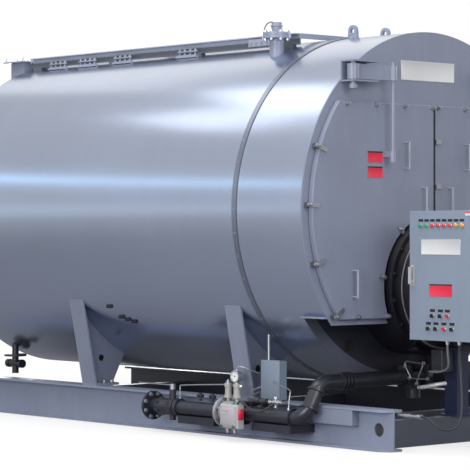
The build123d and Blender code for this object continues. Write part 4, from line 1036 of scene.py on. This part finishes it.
@dataclass
class GasDressing:
    """What is mounted on the gas line: the valve's drive, the gauge, a switch, fittings and pilot tubes."""

    line_y: float = -1.150
    line_z: float = 0.208
    pipe_top: float = 0.279
    drive_at: Triple = (1.056, -1.3063, 0.1925)
    drive_y: float = -1.273
    gauge: Triple = (0.979, -1.170, 0.488)
    link_y: float = -0.114
    pilot_tubes: Tuple[Route, ...] = (
        ((0.300, -1.150, 0.270), (0.300, -1.150, 0.372), (0.300, -1.150, 0.382), (0.320, -1.150, 0.386),
         (0.600, -1.152, 0.404), (0.850, -1.150, 0.418)),
        ((0.979, -1.150, 0.525), (0.979, -1.150, 0.556), (1.000, -1.150, 0.566), (1.050, -1.130, 0.556),
         (1.078, -1.050, 0.520), (1.082, -0.965, 0.500), (1.098, -0.965, 0.500)),
        ((1.246, -0.999, 0.455), (1.246, -1.022, 0.455), (1.290, -1.040, 0.448), (1.430, -1.062, 0.422),
         (1.520, -1.090, 0.405), (1.541, -1.118, 0.385), (1.541, -1.130, 0.300), (1.541, -1.132, 0.262)),
        ((1.098, -0.985, 0.410), (1.076, -0.985, 0.408), (1.066, -1.060, 0.385), (1.090, -1.130, 0.345),
         (1.150, -1.150, 0.325)),
        ((1.098, -0.955, 0.380), (1.074, -0.955, 0.378), (1.060, -1.050, 0.350), (1.080, -1.140, 0.318),
         (1.130, -1.160, 0.304)),
    )
    drive_tube: Route = (
        (1.130, -1.285, 0.280), (1.140, -1.285, 0.312), (1.185, -1.270, 0.305), (1.235, -1.252, 0.258),
        (1.310, -1.246, 0.236), (1.380, -1.240, 0.252), (1.418, -1.205, 0.292), (1.424, -1.160, 0.310),
    )
    air_tube: Route = (
        (1.860, -0.060, 0.400), (1.930, -0.112, 0.404), (2.030, -0.112, 0.420), (2.110, -0.090, 0.440),
        (2.150, -0.050, 0.446),
    )
    links: Tuple[Tuple[Pair, ...], ...] = (
        ((1.765, 0.560), (1.765, 0.596), (1.800, 0.600), (1.960, 0.588)),
        ((1.962, 0.600), (1.950, 0.560), (1.900, 0.470), (1.886, 0.430)),
        ((1.800, 0.474), (1.880, 0.466), (2.010, 0.474)),
        ((1.830, 0.470), (1.800, 0.520), (1.770, 0.560)),
    )
    link_eyes: Tuple[Pair, ...] = ((1.765, 0.560), (1.960, 0.590), (1.886, 0.432), (1.812, 0.472), (2.006, 0.474))

    def on_line(self, x: float, z: float, way: Triple) -> Matrix:
        """A frame over the gas line that looks along a way."""
        return facing((x, self.line_y, z), way)

    def drive(self) -> None:
        """The drive's cover and screws, its red window, earth terminals and cable glands."""
        x, face, z = self.drive_at
        cover = Bench.block((0.178, 0.162, 0.008), (0.016, 0.008), soft=0.003)
        plate = Bench.moved(BarePlates.plate(0.070, 0.034, 0.003), at(-0.024, 0.036, 0.016))
        Bench.seat(Bench.join([cover, plate]), "drive_cover", Slot.WHITE, Finishes.DRIVE,
                   [facing(self.drive_at, NEAR)])
        # The drive's window wears the glowing lens finish: a painted glow on a part that is no lamp.
        window = Bench.block((0.054, 0.082, 0.010), (0.007, 0.008), soft=0.004, segments=3)
        Bench.seat(window, "drive_window", Slot.WHITE, Finishes.LENS_RED,
                   [facing((1.156, self.drive_y, 0.212), FORWARD)])
        corners = [facing((x + dx, face - 0.008, z + dz), NEAR) for dx in (-0.080, 0.080) for dz in (-0.072, 0.072)]
        Bench.seat(Hardware.screw(0.011), "drive_screws", Slot.ZINC, Finishes.ZINC, corners)
        terminal = Bench.turned(((0.014, 0.006), (0.010, 0.010), (0.005, 0.005)), 12)
        ends = [facing((end, -1.276, 0.285), UP) for end in (1.084, 1.132)]
        ends += [facing((end, face, 0.118), NEAR) for end in (1.120, 0.985)]
        Bench.seat(terminal, "drive_terminals", Slot.WHITE, Finishes.GREEN, ends)
        gland = Bench.turned(((0.019, 0.010), (0.015, 0.014), (0.010, 0.012)), 12)
        Bench.seat(gland, "drive_glands", Slot.ZINC, Finishes.ALLOY,
                   [facing((end, self.drive_y, 0.100), DOWN) for end in (1.010, 1.090)])

    def dial(self) -> None:
        """The gauge's rim, its face, the marks and the needle."""
        place = [facing(self.gauge, NEAR)]
        rim = Bench.rod(0.096, 0.010, (0.007, -0.006), sides=32, soft=0.002)
        Bench.seat(rim, "gauge_rim", Slot.ZINC, Finishes.BRIGHT, place)
        face = Bench.turned(((0.040, 0.004), (0.038, 0.001)), 32)
        Bench.seat(face, "gauge_face", Slot.WHITE, Finishes.DIAL, place)
        marks = []
        for number in range(11):
            length = 0.006 if number % 5 else 0.010
            mark = Bench.block((0.002, length, 0.001), soft=0.0003, segments=1, lift=0.0055)
            marks.append(Bench.moved(mark, turn(135.0 - 27.0 * number, "Z") @ at(0.0, 0.030, 0.0)))
        needle = Bench.block((0.003, 0.036, 0.001), lift=0.0065)
        with Bench.faces(needle, lambda part: part.normal.y > 0.9):
            bpy.ops.transform.resize(value=(0.2, 1.0, 1.0))
        Bench.moved(needle, turn(70.0, "Z") @ at(0.0, 0.010, 0.0))
        hub = Bench.turned(((0.005, 0.007), (0.003, 0.001)), 12)
        Bench.seat(Bench.join([needle, hub] + marks), "gauge_marks", Slot.BLACK, Finishes.TAG, place)

    def switch(self) -> None:
        """The pressure switch on its two feet."""
        barrel = Bench.turned(((0.018, 0.018), (0.027, 0.110), (0.021, 0.014), (0.027, 0.060), (0.016, 0.012)))
        pieces = [Bench.moved(Bench.soften(barrel, 0.002), self.on_line(1.116, 0.308, FORWARD))]
        for x in (1.170, 1.290):
            foot = Bench.block((0.020, 0.060, 0.030), (0.004, 0.006))
            pieces.append(Bench.moved(foot, at(x, self.line_y, self.pipe_top - 0.010)))
        Bench.seat(Bench.join(pieces), "pressure_switch", Slot.BLACK, Finishes.BLACK)

    def relief(self) -> None:
        """The relief fitting: a cross piece, its stem and head, and a domed stub."""
        rows = (
            (((0.021, 0.024), (0.013, 0.026), (0.022, 0.008), (0.014, 0.022), (0.024, 0.036), (0.011, 0.024)), 12,
             (1.353, 0.312, FORWARD)),
            (((0.019, 0.012), (0.012, 0.030)), 12, (1.420, 0.272, UP)),
            (((0.012, 0.026), (0.021, 0.014), (0.017, 0.003)), 6, (1.420, 0.314, UP)),
        )
        pieces = [Bench.moved(Bench.turned(steps, sides), self.on_line(*place)) for steps, sides, place in rows]
        ball = Bench.dome((0.036, 0.036, 0.034), 0.016, 0.004)
        stub = Bench.join([Bench.turned(((0.012, 0.008), (0.008, 0.010)), 12), ball])
        pieces.append(Bench.moved(stub, self.on_line(1.008, 0.410, FORWARD)))
        Bench.seat(Bench.join(pieces), "relief_fitting", Slot.ZINC, Finishes.BRIGHT)

    def fittings(self) -> None:
        """Test cocks, regulator caps and the weld seams."""
        post = Bench.turned(((0.016, 0.012), (0.009, 0.022)), 12)
        bar = Bench.moved(Bench.turned(((0.012, 0.014), (0.008, 0.036), (0.013, 0.014)), 8),
                          at(-0.032, 0.0, 0.040) @ turn(90.0, "Y"))
        cap = Bench.moved(Bench.turned(((0.010, 0.012), (0.015, 0.006)), 6), at(0.0, 0.0, 0.046))
        cocks = [at(x, self.line_y, self.pipe_top - 0.004) for x in (0.545, 0.690)]
        Bench.seat(Bench.join([post, bar, cap]), "test_cocks", Slot.PIPE, Finishes.PIPE, cocks)
        knob = Bench.turned(((0.026, 0.008), (0.020, 0.014), (0.009, 0.010)), 16)
        collar = Bench.turned(((0.026, 0.006), (0.018, 0.008)), 16)
        caps = [Bench.moved(knob, self.on_line(0.879, 0.430, UP)), Bench.moved(collar, self.on_line(0.979, 0.430, UP))]
        Bench.seat(Bench.join(caps), "regulator_caps", Slot.ZINC, Finishes.ZINC)
        rise = Vector((0.0, 0.150, 0.266)).normalized()
        foot = Vector((1.740, self.line_y, self.line_z))
        rings = [facing(foot + rise * reach, rise) for reach in (0.075, 0.225)]
        rings += [self.on_line(x, self.line_z, FORWARD) for x in (1.612, 0.300)]
        seam = Bench.turned(((0.0711, 0.004), (0.0721, 0.004), (0.0711, 0.004)), 40)
        Bench.seat(seam, "pipe_seams", Slot.PIPE, Finishes.PIPE, rings, smooth=50.0)

    def tubes(self) -> None:
        """Small rigid pilot tubes with a nut at each end, and the drive's tube."""
        pieces = [Bench.tube(route, 0.0055) for route in self.pilot_tubes]
        for route in self.pilot_tubes:
            for end, after in ((route[0], route[1]), (route[-1], route[-2])):
                nut = Bench.turned(((0.011, 0.012), (0.008, 0.004)), 6)
                pieces.append(Bench.moved(nut, facing(end, Vector(after) - Vector(end))))
        Bench.seat(Bench.join(pieces), "pilot_tubes", Slot.ZINC, Finishes.ZINC)
        Bench.seat(Bench.tube(self.drive_tube, 0.006), "drive_tube", Slot.PIPE, Finishes.PIPE)

    def linkage(self) -> None:
        """The throttle's bright linkage and the pale tube under it."""
        rods = [Bench.tube([(x, self.link_y, z) for x, z in route], 0.007) for route in self.links]
        eye = Bench.turned(((0.016, 0.010), (0.012, 0.008), (0.006, 0.005)), 12)
        eyes = Bench.spread(eye, [facing((x, self.link_y + 0.008, z), NEAR) for x, z in self.link_eyes])
        Bench.seat(Bench.join(rods + [eyes]), "throttle_linkage", Slot.ZINC, Finishes.ZINC)
        Bench.seat(Bench.tube(self.air_tube, 0.016), "throttle_air_tube", Slot.WHITE, Finishes.PLATE)

    def build(self) -> None:
        """Everything mounted on the gas line."""
        self.drive()
        self.dial()
        self.switch()
        self.relief()
        self.fittings()
        self.tubes()
        self.linkage()


@dataclass
class DrumDetails:
    """Small pieces on the drum: hem bars, band screws, head ports and discs in the legs' holes, both near-black as
    painted shade, the legs' bolts, clips, the door seam.
    """

    jacket_r: float = 1.365
    band_x: float = 1.187
    band_proud: float = 0.0048
    clips: Tuple[Pair, ...] = ((-0.640, 0.985), (-0.560, 0.900), (-0.500, 0.880), (-0.430, 0.865))

    def on_jacket(self, x: float, z: float) -> Matrix:
        """A frame on the jacket's near side at a height."""
        rise = z - AXIS_Z
        normal = Vector((0.0, -math.sqrt(self.jacket_r ** 2 - rise ** 2), rise)).normalized()
        return facing(Vector((x, 0.0, AXIS_Z)) + normal * self.jacket_r, normal)

    def band(self) -> List[Matrix]:
        """Frames round the trim band, looking outward."""
        middle = Vector((self.band_x, 0.0, AXIS_Z))
        ways = [(spot.translation - middle).normalized() for spot in round_about(middle, FORWARD, 1.0, 48)]
        return [facing(middle + way * (self.jacket_r + self.band_proud), way) for way in ways]

    def build(self) -> None:
        """Each kind in turn."""
        hem = Bench.block((0.258, 0.052, 0.010), (0.006, 0.004), soft=0.002, segments=1)
        Bench.seat(hem, "wrapper_hems", Slot.GREY, Finishes.GREY, [at(1.801, side * 1.118, 0.955) for side in SIDES])
        Bench.seat(Hardware.screw(0.013), "band_screws", Slot.ZINC, Finishes.ZINC, self.band())
        # Head ports: recessed blocks in near-black, painted shade for the dark inside of the ports.
        port = Bench.block((0.078, 0.078, 0.014), (0.012, -0.010), soft=0.002, segments=1)
        Bench.seat(port, "head_ports", Slot.BLACK, Finishes.HOLE_SHADE,
                   [facing((HEAD_FACE - 0.002, y, 0.738), FORWARD) for y in (-0.636, 0.636)])
        # Near-black discs in the legs' holes: painted shade for the dark inside of the holes.
        hole_disc = Bench.turned(((0.0275, 0.004), (0.024, 0.002)), 24)
        Bench.seat(hole_disc, "leg_hole_shades", Slot.BLACK, Finishes.HOLE_SHADE,
                   [facing((leg, y, 0.53437), FORWARD) for leg in LEGS for y in (-0.885, 0.885)])
        feet = [at(leg + dx, side * y, 0.325) for leg in LEGS for dx in (-0.060, 0.060) for side in SIDES
                for y in (0.965, 0.890, 0.810)]
        Bench.seat(Hardware.bolt(0.032, 0.022), "leg_bolts", Slot.ZINC, Finishes.ZINC, feet)
        clip = Bench.block((0.070, 0.030, 0.006), (0.006, 0.012), soft=0.002, segments=1)
        Bench.seat(clip, "jacket_clips", Slot.DARK, Finishes.DARK, [self.on_jacket(*spot) for spot in self.clips])
        Bench.seat(Bench.block((0.016, 0.830, 0.003), (0.003, 0.002)), "door_seam", Slot.BLACK, Finishes.RUBBER,
                   [facing((DOOR_FACE, -0.0095, 2.145), FORWARD)], Body.LEFT_DOOR)


@dataclass
class RoofFittings:
    """The steam nozzle's blind cover, the pieces under the rails, the splice and the flue flange's bolts."""

    nozzle: Triple = (0.825, -0.595, 3.149)
    wire: Route = (
        (-0.085, -0.040, 0.020), (-0.098, -0.050, 0.050), (-0.080, -0.030, 0.100), (-0.045, -0.012, 0.112),
        (-0.020, -0.004, 0.100),
    )
    clamp_sets: Tuple[float, ...] = (-2.215, -1.785, -1.290, -0.420)
    flange_inset: float = 0.022

    def blind(self) -> None:
        """A blind flange with its bolts, a capped stub and a safety wire."""
        x, y, z = self.nozzle
        cover = Bench.turned(((0.1145, 0.022), (0.044, 0.048), (0.050, 0.010), (0.043, 0.022)), 40)
        Bench.seat(Bench.soften(cover, 0.002, 1), "nozzle_blind", Slot.GREY, Finishes.GREY, [facing(self.nozzle, UP)])
        frames = round_about((x, y, z + 0.022), UP, FLANGE_CIRCLE, 8, 22.5)
        frames += round_about((x, y, z - 0.024), DOWN, FLANGE_CIRCLE, 8, 22.5)
        Bench.seat(Hardware.bolt(0.027, 0.016), "nozzle_bolts", Slot.ZINC, Finishes.ZINC, frames)
        wire = Bench.tube([(x + dx, y + dy, z + dz) for dx, dy, dz in self.wire], 0.004)
        Bench.seat(wire, "nozzle_wire", Slot.DARK, Finishes.DARK)

    def rail_pieces(self) -> None:
        """Clamp sets between the rails and the jacket, and one splice plate a rail."""
        parts = [Bench.block((0.250, 0.040, 0.016), (0.008, 0.006)),
                 Bench.block((0.240, 0.026, 0.010), soft=0.002, segments=1, lift=0.050)]
        for x in (-0.100, -0.035, 0.035, 0.100):
            stud = Bench.turned(((0.011, 0.022), (0.007, 0.024), (0.012, 0.012), (0.007, 0.008)), 8)
            parts.append(Bench.moved(stud, at(x, 0.0, 0.008)))
        Bench.seat(Bench.join(parts), "rail_clamps", Slot.GREY, Finishes.STEEL_GREY,
                   [at(x, side * 0.462, 3.052) for side in SIDES for x in self.clamp_sets])
        parts = [Bench.block((0.260, 0.060, 0.008), (0.006, 0.002))]
        for x in (-0.095, -0.032, 0.032, 0.095):
            parts.append(Bench.moved(Hardware.bolt(0.020, 0.010), at(x, 0.0, 0.010)))
        Bench.seat(Bench.join(parts), "rail_splices", Slot.ZINC, Finishes.STEEL_GREY,
                   [facing((0.470, side * 0.454, 3.122), (0.0, side, 0.0)) for side in SIDES])

    def flue_bolts(self) -> None:
        """Studs round the flue outlet's flange."""
        low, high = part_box("flue_outlet")
        inset = self.flange_inset
        along = [low[1] + inset + (high[1] - low[1] - 2.0 * inset) * step / 8.0 for step in range(9)]
        stud = Bench.turned(((0.014, 0.003), (0.012, 0.010), (0.006, 0.022)), 8)
        Bench.seat(stud, "flue_studs", Slot.ZINC, Finishes.ZINC,
                   [at(x, y, high[2]) for x in (low[0] + inset, high[0] - inset) for y in along])

    def build(self) -> None:
        """Everything on the roof."""
        self.blind()
        self.rail_pieces()
        self.flue_bolts()


@dataclass
class BoxDetails:
    """The junction box's lid, the cabinet's glands, and the screws of both."""

    box: Triple = (1.1975, -1.000, 0.464)

    def build(self) -> None:
        """Lid, glands and screws."""
        x, y, z = self.box
        lid = Bench.block((0.209, 0.304, 0.006), (0.010, 0.003), soft=0.002)
        Bench.seat(lid, "junction_lid", Slot.PANEL, Finishes.PANEL, [facing(self.box, NEAR)])
        corners = [facing((x + dx, y - 0.009, z + dz), NEAR) for dx in (-0.085, 0.085) for dz in (-0.132, 0.132)]
        Bench.seat(Hardware.screw(0.010), "junction_screws", Slot.ZINC, Finishes.ZINC, corners)
        gland = Bench.turned(((0.020, 0.008), (0.016, 0.012), (0.013, 0.010)), 12)
        Bench.seat(gland, "cabinet_glands", Slot.ZINC, Finishes.ZINC,
                   [facing(route[0], DOWN) for route in (FlexibleConduits.servo, FlexibleConduits.skid)])


@dataclass
class BurnerDetails:
    """The burner's bright trim ring, the motor's fins and grille, the rear end's bolts, igniter box and tube ends."""

    handle: Tuple[Pair, ...] = ((0.0, -0.09), (0.055, -0.09), (0.060, -0.085), (0.060, 0.085), (0.055, 0.09),
                                (0.0, 0.09))
    tube_rows: int = 7
    lowest_count: int = 22
    tube_pitch: float = 0.088
    row_pitch: float = 0.094
    first_row: float = 1.830
    tube_reach: float = 1.16

    def trim(self) -> None:
        """A thin bright ring in front of the drum's mounting ring."""
        ring = Bench.rod(0.962, 0.006, (0.010, -0.003), sides=72, soft=0.001, segments=1)
        Bench.seat(ring, "burner_trim_ring", Slot.ZINC, Finishes.ALLOY, [facing((2.080, 0.0, BURNER_Z), FORWARD)])

    def motor(self) -> None:
        """Cooling fins round the motor and a ribbed grille on its end."""
        low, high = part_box("burner_motor")
        radius = (high[1] - low[1]) / 2.0
        middle = Vector(((low[0] + high[0]) / 2.0, 0.0, BURNER_Z))
        fin = Bench.block(((high[0] - low[0]) * 0.62, 0.006, 0.014), lift=0.003)
        with Bench.faces(fin, Bench.highest(fin)):
            bpy.ops.transform.resize(value=(0.96, 0.5, 1.0))
        frames = []
        for degrees in range(0, 360, 10):
            if abs(degrees - 90.0) > 32.0:
                angle = math.radians(degrees)
                way = Vector((0.0, math.cos(angle), math.sin(angle)))
                axes = Matrix((Vector(FORWARD), way.cross(Vector(FORWARD)), way))
                frames.append(Matrix.Translation(middle + way * radius) @ axes.transposed().to_4x4())
        Bench.seat(fin, "motor_fins", Slot.NAVY, Finishes.NAVY, frames)
        rings = [Bench.rod(size, 0.006, (0.010, -0.003), sides=40) for size in (0.26, 0.19, 0.12)]
        Bench.seat(Bench.join(rings), "motor_grille", Slot.BLACK, Finishes.BLACK,
                   [facing((high[0], 0.0, BURNER_Z), FORWARD)])

    def rear(self) -> None:
        """Bolts round the rear smokebox and its access door, and two lift handles."""
        frames: List[Matrix] = []
        box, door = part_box("rear_smokebox"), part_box("rear_access_door")
        for (near, far), inset, count, first in ((door, 0.035, 12, 15.0), (box, 0.045, 28, 6.0)):
            middle = (near[0], (near[1] + far[1]) / 2.0, (near[2] + far[2]) / 2.0)
            frames += round_about(middle, BACK, (far[1] - near[1]) / 2.0 - inset, count, first)
        Bench.seat(Hardware.bolt(0.030, 0.018), "rear_bolts", Slot.ZINC, Finishes.ZINC, frames)
        low, high = door
        y, z = (low[1] + high[1]) / 2.0, (low[2] + high[2]) / 2.0
        bars = [Bench.tube([(low[0] - out, y + side, z + rise) for out, rise in self.handle], 0.009)
                for side in (-0.12, 0.12)]
        Bench.seat(Bench.join(bars), "rear_door_handles", Slot.ZINC, Finishes.STEEL_GREY)

    def igniter(self) -> None:
        """The black igniter box on the far side of the post, with a lid and two cable stubs."""
        body = Bench.block((0.370, 0.210, 0.120), (0.006, 0.004), (-0.009, 0.022), soft=0.003)
        stub = Bench.turned(((0.020, 0.012), (0.015, 0.016), (0.010, 0.020)), 12)
        stubs = Bench.spread(stub, [facing((0.185, y, 0.080), FORWARD) for y in (-0.050, 0.050)])
        Bench.seat(Bench.join([body, stubs]), "igniter_box", Slot.BLACK, Finishes.BLACK,
                   [facing((2.075, 0.0635, 0.500), FAR)])

    def tube_ends(self) -> None:
        """The ends of the smoke tubes in the front head, seen when the doors are open."""
        end = Bench.turned(((0.034, 0.006), (0.030, 0.004)), 16)
        Bench.step(end, 0.006, -0.009)
        frames = []
        for row in range(self.tube_rows):
            count = self.lowest_count - row
            z = self.first_row + row * self.row_pitch
            for number in range(count):
                y = (number - (count - 1) / 2.0) * self.tube_pitch
                if math.hypot(y, z - AXIS_Z) < self.tube_reach:
                    frames.append(facing((HEAD_FACE, y, z), FORWARD))
        Bench.seat(end, "smoke_tube_ends", Slot.DARK, Finishes.ALLOY, frames)

    def build(self) -> None:
        """Trim, motor, rear end, igniter and tube ends."""
        self.trim()
        self.motor()
        self.rear()
        self.igniter()
        self.tube_ends()


@dataclass
class NodePaint:
    """Which finish each CAD node wears."""

    def table(self) -> Dict[str, Finish]:
        """Finish by node name; nodes that aren't named wear grey enamel."""
        groups = {
            Finishes.JACKET: ("boiler_shell", "smokebox_wrapper"),
            Finishes.BAND: ("shell_band",),
            Finishes.ZINC: ("junction_conduit", "gas_cock_lever", "gas_gauge", "left_door_clamps",
                            "right_door_clamps"),
            Finishes.STEEL_GREY: ("left_door_handles", "right_door_handles"),
            Finishes.RAIL: ("top_rail_left", "top_rail_right"),
            # Painted shade: these parts wear a darker grey because they lie in shade.
            Finishes.PAINTED_SHADE_GREY: ("skid_front_beam", "skid_cross_members", "clamp_lugs"),
            Finishes.SKID: ("skid_rail_left", "skid_rail_right"),
            Finishes.BLACK: ("burner_drum", "burner_housing", "burner_fan_casing"),
            Finishes.NAVY: ("burner_pedestal", "burner_motor"),
            Finishes.PANEL: ("panel_cabinet", "panel_door", "panel_brackets", "junction_box"),
            Finishes.PIPE: ("gas_inlet_spool", "gas_cock_body", "gas_spool", "gas_riser_pipe", "gas_throttle_valve",
                            "gas_burner_elbow", "gas_pipe_brackets", "blowdown_valve"),
            Finishes.ALLOY: ("gas_safety_valve",),
            Finishes.DRIVE: ("gas_valve_actuator", "panel_latch"),
            Finishes.CREAM: ("gas_regulators",),
            # Dark plate with painted shade on the heads and the smokebox floor.
            Finishes.DARK: ("front_head", "rear_head", "smokebox_floor"),
        }
        return {node: finish for finish, nodes in groups.items() for node in nodes}

    def build(self) -> None:
        """Paints every CAD node."""
        table = self.table()
        for name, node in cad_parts.items():
            finish = table.get(name, Finishes.GREY)
            node.data.materials.clear()
            node.data.materials.append(finish.material())
            LOG.info("%s wears %s", name, finish.name)


def main() -> None:
    """Builds the scene in order: camera and conduits first, then finishes and fittings."""
    logging.basicConfig(level=logging.INFO, format="%(name)s: %(message)s")
    builders = (Studio(), FlexibleConduits(), NodePaint(), BarePlates(), PanelFace(), Hardware(), GasDressing(),
                DrumDetails(), RoofFittings(), BoxDetails(), BurnerDetails())
    for builder in builders:
        LOG.info("building %s", type(builder).__name__)
        builder.build()


if __name__ == "__main__":
    main()
